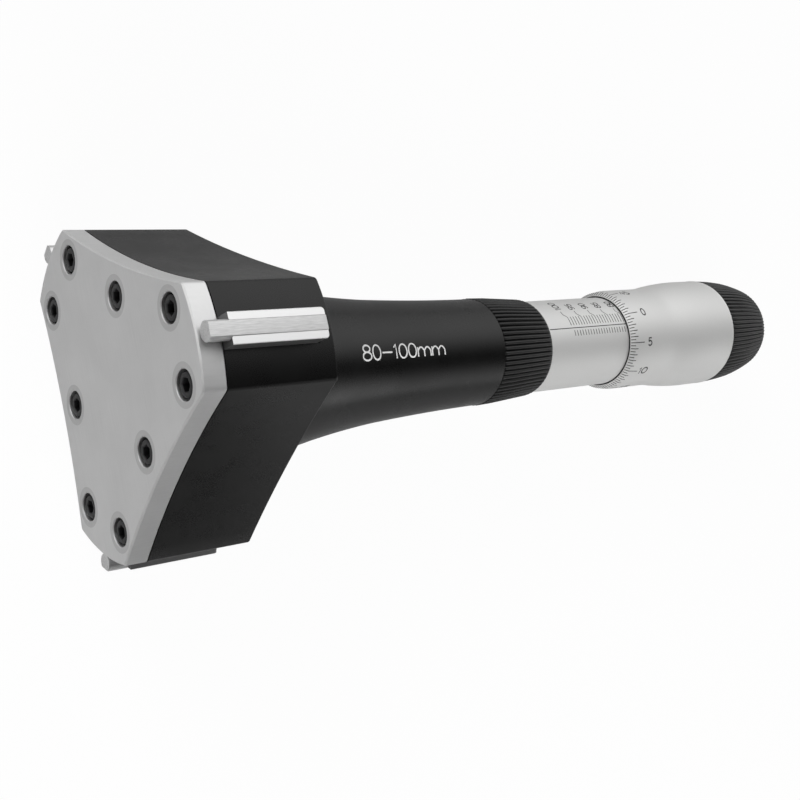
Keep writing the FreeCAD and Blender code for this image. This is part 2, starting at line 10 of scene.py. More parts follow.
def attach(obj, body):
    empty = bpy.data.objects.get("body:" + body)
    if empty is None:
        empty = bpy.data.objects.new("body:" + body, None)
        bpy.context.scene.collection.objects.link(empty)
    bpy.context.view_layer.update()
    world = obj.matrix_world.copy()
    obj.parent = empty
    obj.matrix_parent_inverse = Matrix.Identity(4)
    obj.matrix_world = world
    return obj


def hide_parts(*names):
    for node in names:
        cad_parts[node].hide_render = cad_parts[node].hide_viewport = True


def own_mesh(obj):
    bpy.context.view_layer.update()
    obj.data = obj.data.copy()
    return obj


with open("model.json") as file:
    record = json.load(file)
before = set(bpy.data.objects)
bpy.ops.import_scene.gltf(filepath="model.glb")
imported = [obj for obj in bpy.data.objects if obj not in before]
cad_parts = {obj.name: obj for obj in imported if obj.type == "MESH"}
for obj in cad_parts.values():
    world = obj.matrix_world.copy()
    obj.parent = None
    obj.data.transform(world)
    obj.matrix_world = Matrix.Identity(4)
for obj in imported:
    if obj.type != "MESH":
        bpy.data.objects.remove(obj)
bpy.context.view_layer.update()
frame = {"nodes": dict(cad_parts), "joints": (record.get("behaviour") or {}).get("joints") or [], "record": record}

# The instrument lies tilted on the bench, so every piece is drawn in the instrument's own frame,
# in millimetres: x runs from the front plate's face towards the knob, z out along the upper anvil.
# The place of that frame comes from the record: the front mount and the upper anvil's slide.
front_mount = next(m for m in frame["record"]["mounts"] if m["name"] == "front_face")
upper_slide = next(j for j in frame["joints"] if j["name"] == "anvil_a_slide")
origin = Vector(front_mount["pos_m"])
along = -Vector(front_mount["axis"])
upward = Vector(upper_slide["axis"])
sideways = upward.cross(along)
turned = Matrix((along, sideways, upward)).transposed()
instrument = Matrix.Translation(origin) @ turned.to_4x4() @ Matrix.Scale(0.001, 4)


# FRONT PLATE
# A three-cornered plate of steel, ground flat on its face, with nine counterbored holes.
# It closes the anvils' slots and is held to the head by socket head screws.
CORNER_RADIUS = 36.2
CORNER_HALF_ANGLE = 16.1
SIDE_NEAR = 24.35
CORNER_ROUNDING = 0.5
PLATE_THICKNESS = 5.0
PLATE_BEVEL = 0.3
SCREW_PLACES = [(29.5, anvil + side) for anvil in (0, 120, 240) for side in (-14, 14)]
SCREW_PLACES += [(17.8, between) for between in (60, 180, 300)]
COUNTERBORE_RADIUS = 2.95
COUNTERBORE_DEPTH = 3.2
COUNTERBORE_EDGE = 0.18
SCREW_SHADE_RADIUS = 4.25
RELIEF_DEPTH = 0.00002
CLOUDED = {"From Min": 0.6, "From Max": 1.4}
SHARP_TURN = 150
MERGED_WITHIN = 0.002


def around(station, radius, degrees):
    """A point so far along the axis and from it, turned from the upper anvil towards the right-hand one."""
    angle = math.radians(degrees)
    return Vector((station, radius * math.sin(angle), radius * math.cos(angle)))


def only(kind, geometry):
    """The vertices, the edges or the faces among what an operator returns."""
    return [part for part in geometry if isinstance(part, kind)]


def carry_on(bm, last, corner, steps):
    """Carries a wire on from its last vertex: straight to a point, or along the arc through two points."""
    if len(corner) == 3:
        point = bm.verts.new(corner)
        bm.edges.new((last, point))
        return point
    via, end = (Vector(p) - last.co for p in corner)
    normal = via.cross(end)
    pull = via.length_squared * end.cross(normal) * -1 + end.length_squared * via.cross(normal)
    centre = -pull / (2 * normal.length_squared)
    sweep = (-centre).angle(via - centre) + (via - centre).angle(end - centre)
    swept = bmesh.ops.spin(bm, geom=[last], cent=last.co + centre, axis=normal.normalized(), angle=sweep,
                           steps=steps)
    return only(BMVert, swept["geom_last"])[0]


def wire(bm, corners, steps=8):
    """Draws a wire through points and arcs, and returns its edges. Joined ends are merged."""
    before = set(bm.edges)
    last = bm.verts.new(corners[0])
    for corner in corners[1:]:
        last = carry_on(bm, last, corner, steps)
    fresh = {v for e in set(bm.edges) - before for v in e.verts}
    bmesh.ops.remove_doubles(bm, verts=list(fresh), dist=0.001)
    return [e for e in bm.edges if e not in before]


def bevel(bm, parts, offset, segments=1, affect="EDGES"):
    """Bevels edges, or rounds the corners of an outline."""
    bmesh.ops.bevel(bm, geom=parts, offset=offset, segments=segments, profile=0.5, affect=affect, material=-1)


def fill(bm, edges, dissolve=False):
    """Fills a flat outline, except for the outlines inside it, and returns the faces."""
    filled = bmesh.ops.triangle_fill(bm, use_beauty=True, use_dissolve=dissolve, edges=edges)["geom"]
    return only(BMFace, filled)


def head_outline(bm):
    """The three-cornered outline of the head: a corner arc at each anvil and a hollow side between them."""
    corners = [around(0, CORNER_RADIUS, -CORNER_HALF_ANGLE)]
    for anvil in (0, 120, 240):
        corner_end = around(0, CORNER_RADIUS, anvil + CORNER_HALF_ANGLE)
        next_start = around(0, CORNER_RADIUS, anvil + 120 - CORNER_HALF_ANGLE)
        corners.append((around(0, CORNER_RADIUS, anvil), corner_end))
        corners.append((around(0, SIDE_NEAR, anvil + 60), next_start))
    edges = wire(bm, corners, steps=16)
    tips = [v for v in {v for e in edges for v in e.verts} if is_corner(v)]
    before = set(bm.edges) - set(edges)
    bevel(bm, tips, CORNER_ROUNDING, 4, affect="VERTICES")
    return [e for e in bm.edges if e not in before]


def is_corner(vertex):
    """True where a wire turns sharply."""
    first, second = (e.other_vert(vertex).co - vertex.co for e in vertex.link_edges)
    return first.angle(second) < math.radians(SHARP_TURN)


def circle_at(bm, centre, radius, segments=48):
    """A ring of edges across the axis."""
    facing = Matrix.Translation(centre) @ Matrix.Rotation(math.radians(90), 4, "Y")
    ring = bmesh.ops.create_circle(bm, cap_ends=False, segments=segments, radius=radius, matrix=facing)
    return list({e for v in ring["verts"] for e in v.link_edges})


def extruded(bm, edges, length):
    """Draws walls back along the axis from a ring of edges, and returns their far edges."""
    drawn = bmesh.ops.extrude_edge_only(bm, edges=edges)["geom"]
    bmesh.ops.translate(bm, verts=only(BMVert, drawn), vec=(length, 0, 0))
    return only(BMEdge, drawn)


def add_object(name, data):
    """Adds an object to the scene."""
    made = bpy.data.objects.new(name, data)
    bpy.context.scene.collection.objects.link(made)
    return made


def put_together(bm, name, body, material, replaced, sharp=30):
    """Closes the seams of a piece, sets it in its place on the bench and joins it to its body."""
    bmesh.ops.remove_doubles(bm, verts=bm.verts, dist=MERGED_WITHIN)
    bmesh.ops.recalc_face_normals(bm, faces=bm.faces)
    bm.transform(instrument)
    mesh = bpy.data.meshes.new(name)
    bm.to_mesh(mesh)
    bm.free()
    mesh.shade_smooth()
    mesh.set_sharp_from_angle(angle=math.radians(sharp))
    mesh.materials.append(material)
    made = add_object(name, mesh)
    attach(made, body)
    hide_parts(*replaced)
    return made


def linear(colour):
    """A colour written as sRGB hex, as the linear values that the shader takes."""
    levels = [int(colour[i:i + 2], 16) / 255 for i in (1, 3, 5)]
    return [v / 12.92 if v <= 0.04045 else ((v + 0.055) / 1.055) ** 2.4 for v in levels] + [1.0]


def add_node(tree, kind, output, inputs={}, into=None, **settings):
    """Adds one node with its settings, plain values and links, and returns one of its outputs."""
    added = tree.nodes.new(kind)
    for name, value in settings.items():
        setattr(added, name, value)
    for name, value in inputs.items():
        if isinstance(value, bpy.types.NodeSocket):
            tree.links.new(value, added.inputs[name])
        else:
            added.inputs[name].default_value = value
    if into:
        tree.links.new(added.outputs[output], into)
    return added.outputs[output]


def finish_of(name, colour, **values):
    """A new material with its shader, and the instrument's own millimetres to lay patterns in."""
    material = bpy.data.materials.new(name)
    material.use_nodes = True
    tree = material.node_tree
    shader = tree.nodes["Principled BSDF"]
    shader.inputs["Base Color"].default_value = linear(colour)
    for socket, value in values.items():
        shader.inputs[socket.replace("_", " ")].default_value = value
    metres = add_node(tree, "ShaderNodeTexCoord", "Object")
    back = turned.transposed()
    millimetres = add_node(tree, "ShaderNodeMapping", "Vector", {
        "Vector": metres,
        "Scale": (1000, 1000, 1000),
        "Rotation": back.to_euler(),
        "Location": back @ origin * -1000,
    })
    return material, tree, shader, millimetres


def ground_steel():
    # Tool steel, surface ground: a light grey metal with fine straight lines, broken by faint clouds.
    # The wheel's lines run across the plate, 0.15 mm apart: coarser than the real ones, so that they show.
    material, tree, shader, spot = finish_of(
        "tool_steel_surface_ground", "#dedede", Metallic=1.0, Roughness=0.55)
    across = add_node(tree, "ShaderNodeMapping", "Vector", {"Vector": spot, "Scale": (0.2, 0.08, 6.5)})
    lines = add_node(tree, "ShaderNodeTexNoise", "Fac", {"Vector": across, "Scale": 1.0, "Detail": 3.0})
    clouds = add_node(tree, "ShaderNodeTexNoise", "Fac", {"Vector": spot, "Scale": 0.09, "Detail": 3.0})
    both = add_node(tree, "ShaderNodeMath", "Value", {0: lines, 1: clouds}, operation="ADD")
    tint = add_node(tree, "ShaderNodeMapRange", "Result", {"Value": both, **CLOUDED})
    tints = {"Factor": tint, "A": linear("#dadada"), "B": linear("#e4e4e4")}
    add_node(tree, "ShaderNodeMix", "Result", tints, into=shader.inputs["Base Color"], data_type="RGBA")
    sheen = {"Value": lines, "To Min": 0.52, "To Max": 0.6}
    add_node(tree, "ShaderNodeMapRange", "Result", sheen, into=shader.inputs["Roughness"])
    relief = {"Height": lines, "Strength": 0.05, "Distance": RELIEF_DEPTH}
    add_node(tree, "ShaderNodeBump", "Normal", relief, into=shader.inputs["Normal"])
    return material


def spot_faced_steel():
    # The same steel with painted shade in a ring round each screw: a shade darker than the ground face.
    material = plate_steel.copy()
    material.name = "tool_steel_spot_faced"
    shade = next(n for n in material.node_tree.nodes if n.type == "MIX")
    shade.inputs["A"].default_value = linear("#cacaca")
    shade.inputs["B"].default_value = linear("#d2d2d2")
    return material


plate_steel = ground_steel()
bm = bmesh.new()
rim = head_outline(bm)
bores = [circle_at(bm, around(0, radius, degrees), COUNTERBORE_RADIUS) for radius, degrees in SCREW_PLACES]
rings = [circle_at(bm, around(0, radius, degrees), SCREW_SHADE_RADIUS) for radius, degrees in SCREW_PLACES]
fill(bm, rim + [e for ring in rings for e in ring])
# The ring round each screw hole takes the darker steel: painted shade round the counterbore.
for bore, ring in zip(bores, rings):
    for face in fill(bm, bore + ring):
        face.material_index = 1
back_rim = extruded(bm, rim, PLATE_THICKNESS)
fill(bm, back_rim)
for bore in bores:
    fill(bm, extruded(bm, bore, COUNTERBORE_DEPTH))
bevel(bm, rim + back_rim, PLATE_BEVEL)
bevel(bm, [e for bore in bores for e in bore], COUNTERBORE_EDGE)
plate = put_together(bm, "ground_front_plate", "frame", plate_steel, ["front_plate"])
plate.data.materials.append(spot_faced_steel())


# HEAD BODY
# The block behind the plate, milled from aluminium and anodised black, with a slot for each anvil.
# Its sides are hollow, most at the plate. A rear wall with a pocket for each block's heel closes the slots,
# and a round boss behind it enters the handle.
HEAD_REAR = 29.0
REAR_SIDE_NEAR = 25.17
SLOT_REAR = 25.75
SLOT_HALF_WIDTH = 3.04
FOOT_SLOT_HALF_WIDTH = 6.04
FOOT_SLOT_TOP = 23.6
HEEL_SLOT_TOP = 22.6
HEEL_SLOT_REAR = 28.65
HEAD_BORE = 13.6
BODY_BEVEL = 0.3
BOSS_RADIUS = 16.0
BOSS_END = 35.0


def black_anodising(name, colour, roughness):
    # Aluminium, bead blasted or turned, then anodised black: a deep neutral black with a soft sheen.
    # The blasted grain is 0.15 mm, and slow changes of the sheen keep the surface from looking painted.
    material, tree, shader, spot = finish_of(name, colour, Roughness=roughness, IOR=1.4)
    grain = add_node(tree, "ShaderNodeTexNoise", "Fac", {"Vector": spot, "Scale": 6.5, "Detail": 4.0})
    clouds = add_node(tree, "ShaderNodeTexNoise", "Fac", {"Vector": spot, "Scale": 0.12, "Detail": 2.0})
    both = add_node(tree, "ShaderNodeMath", "Value", {0: grain, 1: clouds}, operation="ADD")
    sheen = {"Value": both, **CLOUDED, "To Min": roughness - 0.05, "To Max": roughness + 0.07}
    add_node(tree, "ShaderNodeMapRange", "Result", sheen, into=shader.inputs["Roughness"])
    relief = {"Height": grain, "Strength": 0.1, "Distance": RELIEF_DEPTH}
    add_node(tree, "ShaderNodeBump", "Normal", relief, into=shader.inputs["Normal"])
    return material


def at_rear(radius, degrees):
    """A point in the plane of the head's rear wall."""
    return around(HEAD_REAR, radius, degrees)


def turn_round(bm, vertices, degrees):
    """Turns vertices about the instrument's axis."""
    about_axis = Matrix.Rotation(math.radians(degrees), 3, "X")
    bmesh.ops.rotate(bm, cent=(0, 0, 0), matrix=about_axis, verts=vertices)


def is_tip(vertex):
    """True where a corner's arc meets a hollow side."""
    degrees = math.degrees(math.atan2(vertex.co.y, vertex.co.z)) % 120
    off_tip = abs(min(degrees, 120 - degrees) - CORNER_HALF_ANGLE)
    return vertex.co.yz.length > CORNER_RADIUS - 0.01 and off_tip < 0.1


head_black = black_anodising("aluminium_anodised_black", "#040404", 0.28)
bm = bmesh.new()
slot_turn = math.degrees(math.asin(SLOT_HALF_WIDTH / CORNER_RADIUS))
bore_turn = math.degrees(math.asin(FOOT_SLOT_HALF_WIDTH / HEAD_BORE))
heel_turn = math.degrees(math.asin(SLOT_HALF_WIDTH / HEAD_BORE))
part_turn = (slot_turn + CORNER_HALF_ANGLE) / 2
flank_turn = (bore_turn + heel_turn) / 2
far_turn = Matrix.Rotation(math.radians(-120), 3, "X")
sector_corners = [
    at_rear(CORNER_RADIUS, slot_turn),
    (at_rear(CORNER_RADIUS, part_turn), at_rear(CORNER_RADIUS, CORNER_HALF_ANGLE)),
    (at_rear(REAR_SIDE_NEAR, 60), at_rear(CORNER_RADIUS, 120 - CORNER_HALF_ANGLE)),
    (at_rear(CORNER_RADIUS, 120 - part_turn), at_rear(CORNER_RADIUS, 120 - slot_turn)),
    far_turn @ Vector((HEAD_REAR, -SLOT_HALF_WIDTH, FOOT_SLOT_TOP)),
    far_turn @ Vector((HEAD_REAR, -FOOT_SLOT_HALF_WIDTH, FOOT_SLOT_TOP)),
    at_rear(HEAD_BORE, 120 - bore_turn),
    (at_rear(HEAD_BORE, 60), at_rear(HEAD_BORE, bore_turn)),
    Vector((HEAD_REAR, FOOT_SLOT_HALF_WIDTH, FOOT_SLOT_TOP)),
    Vector((HEAD_REAR, SLOT_HALF_WIDTH, FOOT_SLOT_TOP)),
    at_rear(CORNER_RADIUS, slot_turn),
]
slot_corners = [
    at_rear(CORNER_RADIUS, -slot_turn),
    (at_rear(CORNER_RADIUS, 0), at_rear(CORNER_RADIUS, slot_turn)),
    Vector((HEAD_REAR, SLOT_HALF_WIDTH, FOOT_SLOT_TOP)),
    Vector((HEAD_REAR, FOOT_SLOT_HALF_WIDTH, FOOT_SLOT_TOP)),
    at_rear(HEAD_BORE, bore_turn),
    (at_rear(HEAD_BORE, flank_turn), at_rear(HEAD_BORE, heel_turn)),
    Vector((HEAD_REAR, SLOT_HALF_WIDTH, HEEL_SLOT_TOP)),
    Vector((HEAD_REAR, -SLOT_HALF_WIDTH, HEEL_SLOT_TOP)),
    at_rear(HEAD_BORE, -heel_turn),
    (at_rear(HEAD_BORE, -flank_turn), at_rear(HEAD_BORE, -bore_turn)),
    Vector((HEAD_REAR, -FOOT_SLOT_HALF_WIDTH, FOOT_SLOT_TOP)),
    Vector((HEAD_REAR, -SLOT_HALF_WIDTH, FOOT_SLOT_TOP)),
    at_rear(CORNER_RADIUS, -slot_turn),
]
heel_corners = [
    at_rear(HEAD_BORE, -heel_turn),
    (at_rear(HEAD_BORE, 0), at_rear(HEAD_BORE, heel_turn)),
    Vector((HEAD_REAR, SLOT_HALF_WIDTH, HEEL_SLOT_TOP)),
    Vector((HEAD_REAR, -SLOT_HALF_WIDTH, HEEL_SLOT_TOP)),
    at_rear(HEAD_BORE, -heel_turn),
]
sector = wire(bm, sector_corners, steps=12)
tips = [v for v in {v for e in sector for v in e.verts} if is_tip(v)]
bevel(bm, tips, CORNER_ROUNDING, 4, affect="VERTICES")
fill(bm, bm.edges[:], dissolve=True)
# The faces over a slot are marked 1 and those over a heel's pocket 2 while the block is drawn.
for mark, corners in ((1, slot_corners), (2, heel_corners)):
    known_faces = set(bm.faces)
    fill(bm, wire(bm, corners, steps=12), dissolve=True)
    for face in set(bm.faces) - known_faces:
        face.material_index = mark
pattern = list(bm.faces) + list(bm.edges) + list(bm.verts)
for degrees in (-120, -240):
    copied = bmesh.ops.duplicate(bm, geom=pattern)["geom"]
    turn_round(bm, only(BMVert, copied), degrees)
bmesh.ops.remove_doubles(bm, verts=bm.verts, dist=0.01)
bmesh.ops.recalc_face_normals(bm, faces=bm.faces)
rear_faces = list(bm.faces)


def extruded_faces(bm, faces, length):
    """Draws a group of flat faces along the axis, and returns the faces at the far end."""
    edges = list({e for f in faces for e in f.edges})
    drawn = bmesh.ops.extrude_face_region(bm, geom=faces + edges)["geom"]
    bmesh.ops.translate(bm, verts=only(BMVert, drawn), vec=(length, 0, 0))
    return only(BMFace, drawn)


pocket_floors = extruded_faces(bm, rear_faces, HEEL_SLOT_REAR - HEAD_REAR)
round_pockets = [f for f in pocket_floors if f.material_index < 2]
slot_floors = extruded_faces(bm, round_pockets, SLOT_REAR - HEEL_SLOT_REAR)
between_slots = [f for f in slot_floors if f.material_index < 1]
extruded_faces(bm, between_slots, PLATE_THICKNESS - SLOT_REAR)
for face in bm.faces:
    face.material_index = 0
rear_rim = [
    e for e in bm.edges
    if len(e.link_faces) == 2 and e.calc_face_angle() > 1
    and all(abs(v.co.x - HEAD_REAR) < 0.001 and v.co.yz.length > HEAD_BORE + 1 for v in e.verts)
]
bevel(bm, rear_rim, BODY_BEVEL, 2)
half_side = CORNER_RADIUS * math.sin(math.radians(60 - CORNER_HALF_ANGLE))
for between in (60, 180, 300):
    outward, lengthwise = around(0, 1, between), around(0, 1, between + 90)
    for vertex in bm.verts:
        part = vertex.co.dot(lengthwise) / half_side
        if vertex.co.dot(outward) > SIDE_NEAR - 0.5 and abs(part) < 1:
            forward_share = (HEAD_REAR - vertex.co.x) / (HEAD_REAR - PLATE_THICKNESS)
            vertex.co -= outward * (REAR_SIDE_NEAR - SIDE_NEAR) * (1 - part ** 2) * forward_share
boss = circle_at(bm, (HEAD_REAR, 0, 0), BOSS_RADIUS, 96) + circle_at(bm, (HEAD_REAR, 0, 0), HEAD_BORE, 96)
fill(bm, extruded(bm, boss, BOSS_END - HEAD_REAR))
put_together(bm, "black_head_body", "frame", head_black, ["head_body"])


# PLATE SCREWS
# Nine socket head cap screws, turned from alloy steel and finished in black oxide.
# They sit in the plate's counterbores, a little below its face, and are threaded into the head.
SCREW_RADIUS = 1.5
SCREW_REACH = 10.0
SCREW_HEAD_RADIUS = 2.5
SCREW_TOP = 0.35
SOCKET_FLATS = 2.5
SOCKET_DEPTH = 1.6
SOCKET_EDGE = 0.16
SCREW_EDGE = 0.38


def black_oxide():
    # Alloy steel, turned and finished in hot black oxide: near black, with a dull oily sheen on the edges.
    # Fine turning marks 0.2 mm apart run round each head.
    material, tree, shader, spot = finish_of(
        "alloy_steel_black_oxide", "#242425", Metallic=0.6, Roughness=0.36)
    marks = add_node(tree, "ShaderNodeTexNoise", "Fac", {"Vector": spot, "Scale": 5.0, "Detail": 3.0})
    sheen = {"Value": marks, "To Min": 0.26, "To Max": 0.46}
    add_node(tree, "ShaderNodeMapRange", "Result", sheen, into=shader.inputs["Roughness"])
    relief = {"Height": marks, "Strength": 0.15, "Distance": RELIEF_DEPTH}
    add_node(tree, "ShaderNodeBump", "Normal", relief, into=shader.inputs["Normal"])
    return material


screw_black = black_oxide()
bm = bmesh.new()
head_edge = circle_at(bm, (SCREW_TOP, 0, 0), SCREW_HEAD_RADIUS)
socket_edge = circle_at(bm, (SCREW_TOP, 0, 0), SOCKET_FLATS / 2 / math.cos(math.radians(30)), 6)
fill(bm, head_edge + socket_edge)
head_foot = extruded(bm, head_edge, COUNTERBORE_DEPTH - SCREW_TOP)
shank_edge = circle_at(bm, (COUNTERBORE_DEPTH, 0, 0), SCREW_RADIUS, 32)
fill(bm, head_foot + shank_edge)
fill(bm, extruded(bm, shank_edge, SCREW_REACH - COUNTERBORE_DEPTH))
fill(bm, extruded(bm, socket_edge, SOCKET_DEPTH))
bevel(bm, head_edge, SCREW_EDGE, 3)
bevel(bm, socket_edge, SOCKET_EDGE)
one_screw = list(bm.verts) + list(bm.edges) + list(bm.faces)
for radius, degrees in SCREW_PLACES:
    vertices = only(BMVert, bmesh.ops.duplicate(bm, geom=one_screw)["geom"])
    turn_round(bm, vertices, degrees * 3 + radius)
    bmesh.ops.translate(bm, verts=vertices, vec=around(0, radius, degrees))
bmesh.ops.delete(bm, geom=only(BMVert, one_screw), context="VERTS")
put_together(bm, "socket_head_screws", "frame", screw_black, ["plate_screws"])


# ANVIL BLOCKS
# Three sliding blocks of hardened steel, ground on every side, with a T-shaped foot in the head.
# A heel behind the stem rides on the cone, and a groove in the top holds the contact bar.
STEM_HALF_WIDTH = 3.0
BLOCK_TOP = 39.5975
BLOCK_FRONT = 5.05
BLOCK_REAR = 25.7
BLOCK_EDGE = 0.12
CROWN_DROP = 0.025
REAR_ROUNDING = 0.8
FOOT_HALF_WIDTH = 6.0
FOOT_OUTER = 13.0
FOOT_INNER = 8.0
HEEL_REAR = 28.6
HEEL_TOP = 12.0
HEEL_INNER = 3.0
BAR_CENTRE = 38.35
BAR_RADIUS = 1.95
BODIES = {"a": 0, "b": -120, "c": 120}


def hardened_steel():
    # Tool steel, hardened and ground: bright grey metal, with the wheel's scratches along the block.
    # The scratches are 0.1 mm apart, drawn coarser than the real ones so that they show.
    material, tree, shader, spot = finish_of(
        "tool_steel_hardened_ground", "#f2f2f2", Metallic=1.0, Roughness=0.42)
    lengthwise = add_node(tree, "ShaderNodeMapping", "Vector", {"Vector": spot, "Scale": (0.5, 9.0, 9.0)})
    lines = add_node(tree, "ShaderNodeTexNoise", "Fac", {"Vector": lengthwise, "Scale": 1.0, "Detail": 4.0})
    sheen = {"Value": lines, "To Min": 0.36, "To Max": 0.5}
    add_node(tree, "ShaderNodeMapRange", "Result", sheen, into=shader.inputs["Roughness"])
    relief = {"Height": lines, "Strength": 0.15, "Distance": RELIEF_DEPTH}
    add_node(tree, "ShaderNodeBump", "Normal", relief, into=shader.inputs["Normal"])
    return material


def quenched_steel():
    # The same steel, painted a darker grey as shade on the block's faces other than its outer lands.
    # Its sheen is broken by fine uneven spots 0.25 mm across.
    material, tree, shader, spot = finish_of("tool_steel_painted_shade", "#6e6e6e", Metallic=0.9, Roughness=0.45)
    scale = add_node(tree, "ShaderNodeTexNoise", "Fac", {"Vector": spot, "Scale": 4.0, "Detail": 3.0})
    sheen = {"Value": scale, "To Min": 0.38, "To Max": 0.55}
    add_node(tree, "ShaderNodeMapRange", "Result", sheen, into=shader.inputs["Roughness"])
    return material


anvil_steel = hardened_steel()
side_shade_steel = quenched_steel()
groove_edge = BAR_RADIUS * math.sin(math.acos((BLOCK_TOP - BAR_CENTRE) / BAR_RADIUS))
for letter, degrees in BODIES.items():
    bm = bmesh.new()
    stem = wire(bm, [
        (BLOCK_FRONT, -STEM_HALF_WIDTH, BLOCK_TOP - CROWN_DROP),
        (BLOCK_FRONT, -groove_edge, BLOCK_TOP),
        ((BLOCK_FRONT, 0, BAR_CENTRE - BAR_RADIUS), (BLOCK_FRONT, groove_edge, BLOCK_TOP)),
        (BLOCK_FRONT, STEM_HALF_WIDTH, BLOCK_TOP - CROWN_DROP),
        (BLOCK_FRONT, STEM_HALF_WIDTH, FOOT_OUTER),
        (BLOCK_FRONT, FOOT_HALF_WIDTH, FOOT_OUTER),
        (BLOCK_FRONT, FOOT_HALF_WIDTH, FOOT_INNER),
        (BLOCK_FRONT, -FOOT_HALF_WIDTH, FOOT_INNER),
        (BLOCK_FRONT, -FOOT_HALF_WIDTH, FOOT_OUTER),
        (BLOCK_FRONT, -STEM_HALF_WIDTH, FOOT_OUTER),
        (BLOCK_FRONT, -STEM_HALF_WIDTH, BLOCK_TOP - CROWN_DROP),
    ], steps=16)
    front = bmesh.ops.contextual_create(bm, geom=stem)["faces"]
    back = extruded_faces(bm, front, BLOCK_REAR - BLOCK_FRONT)
    plan_edges = [
        e for f in back for e in f.edges
        if all(abs(abs(v.co.y) - STEM_HALF_WIDTH) < 0.01 for v in e.verts)
        and e.verts[0].co.y * e.verts[1].co.y > 0
    ]
    bevel(bm, plan_edges, REAR_ROUNDING, 5)
    rim = [
        e for e in bm.edges
        if len(e.link_faces) == 2 and e.calc_face_angle() > 0.8
        and max(v.co.z for v in e.verts) > BLOCK_TOP - CROWN_DROP - 0.01
        and min(v.co.z for v in e.verts) > BAR_CENTRE
        and max(abs(v.co.y) for v in e.verts) >= groove_edge + 0.01
    ]
    bevel(bm, rim, BLOCK_EDGE)
    heel = wire(bm, [
        (BLOCK_REAR, -STEM_HALF_WIDTH, HEEL_TOP),
        (BLOCK_REAR, STEM_HALF_WIDTH, HEEL_TOP),
        (BLOCK_REAR, STEM_HALF_WIDTH, HEEL_INNER),
        (BLOCK_REAR, -STEM_HALF_WIDTH, HEEL_INNER),
        (BLOCK_REAR, -STEM_HALF_WIDTH, HEEL_TOP),
    ])
    extruded_faces(bm, bmesh.ops.contextual_create(bm, geom=heel)["faces"], HEEL_REAR - BLOCK_REAR)
    bmesh.ops.recalc_face_normals(bm, faces=bm.faces)
    # Every face but the outer lands takes the darker steel: painted shade.
    for face in bm.faces:
        outer = face.normal.z > 0.6 and face.calc_center_median().z > FOOT_OUTER + 1
        face.material_index = 0 if outer else 1
    turn_round(bm, bm.verts, -degrees)
    block = put_together(bm, f"ground_anvil_block_{letter}", f"anvil_{letter}", anvil_steel,
                         [f"anvil_block_{letter}"])
    block.data.materials.append(side_shade_steel)


# CONTACT BARS
# A hard metal bar brazed into the groove of each block, its outer side ground to the gauge's radius.
# It stands forward over the plate, so that the instrument measures down to the floor of a blind bore.
BAR_FRONT = 0.7
BAR_TOP = 39.7575
GRIND_RADIUS = 39.0
BAR_EDGE = 0.12


def ground_carbide():
    # Tungsten carbide, ground: a mid grey metal, darker and duller than steel, scratched finely lengthwise.
    # The scratches are 0.12 mm apart, drawn coarser than the real ones so that they show.
    material, tree, shader, spot = finish_of(
        "tungsten_carbide_ground", "#cccccc", Metallic=1.0, Roughness=0.5)
    lengthwise = add_node(tree, "ShaderNodeMapping", "Vector", {"Vector": spot, "Scale": (0.4, 4.0, 4.0)})
    lines = add_node(tree, "ShaderNodeTexNoise", "Fac", {"Vector": lengthwise, "Scale": 1.0, "Detail": 4.0})
    tints = {"Factor": lines, "A": linear("#b4b4b4"), "B": linear("#f4f4f4")}
    add_node(tree, "ShaderNodeMix", "Result", tints, into=shader.inputs["Base Color"], data_type="RGBA")
    sheen = {"Value": lines, "To Min": 0.42, "To Max": 0.58}
    add_node(tree, "ShaderNodeMapRange", "Result", sheen, into=shader.inputs["Roughness"])
    relief = {"Height": lines, "Strength": 0.25, "Distance": RELIEF_DEPTH}
    add_node(tree, "ShaderNodeBump", "Normal", relief, into=shader.inputs["Normal"])
    return material


bar_carbide = ground_carbide()
ground_turn = math.acos((BAR_TOP - BAR_CENTRE) / BAR_RADIUS)
ground_side = BAR_RADIUS * math.sin(ground_turn)
ground_height = BAR_CENTRE + BAR_RADIUS * math.cos(ground_turn)
crown = ground_height + GRIND_RADIUS - math.sqrt(GRIND_RADIUS ** 2 - ground_side ** 2)
for letter, degrees in BODIES.items():
    bm = bmesh.new()
    section = wire(bm, [
        (BAR_FRONT, -ground_side, ground_height),
        ((BAR_FRONT, 0, BAR_CENTRE - BAR_RADIUS), (BAR_FRONT, ground_side, ground_height)),
        ((BAR_FRONT, 0, crown), (BAR_FRONT, -ground_side, ground_height)),
    ], steps=24)
    bmesh.ops.translate(bm, verts=bm.verts, vec=(0, 0, ground_height - crown))
    front = bmesh.ops.contextual_create(bm, geom=section)["faces"]
    ends = front + extruded_faces(bm, front, BLOCK_REAR - BAR_FRONT)
    bevel(bm, list({e for f in ends for e in f.edges}), BAR_EDGE, 2)
    turn_round(bm, bm.verts, -degrees)
    put_together(bm, f"ground_contact_bar_{letter}", f"anvil_{letter}", bar_carbide,
                 [f"contact_bar_{letter}"])


# HANDLE
# A tube of aluminium, turned in one piece with a long flare towards the head, and anodised black.
# It is screwed to the head's boss, and its rear end carries the collar on a thinner neck.
HANDLE_START = HEAD_REAR + 0.02
HANDLE_CURVE = [((52.5, 15.15), (62.0, 14.2)), ((76.0, 13.48), (95.2, 13.05))]
HANDLE_TAPER_END = (44.0, 16.35)
HANDLE_FRONT_RADIUS = 18.9
HANDLE_EDGE = 0.3
HANDLE_BORE = 10.0
NECK_RADIUS = 11.3
NECK_END = 108.0
CURVE_STEPS = 10


def on_profile(corner):
    """A station and a radius, or an arc's two such points, as points of the profile above the axis."""
    if isinstance(corner[0], tuple):
        return tuple(Vector((station, 0, radius)) for station, radius in corner)
    return Vector((corner[0], 0, corner[1]))


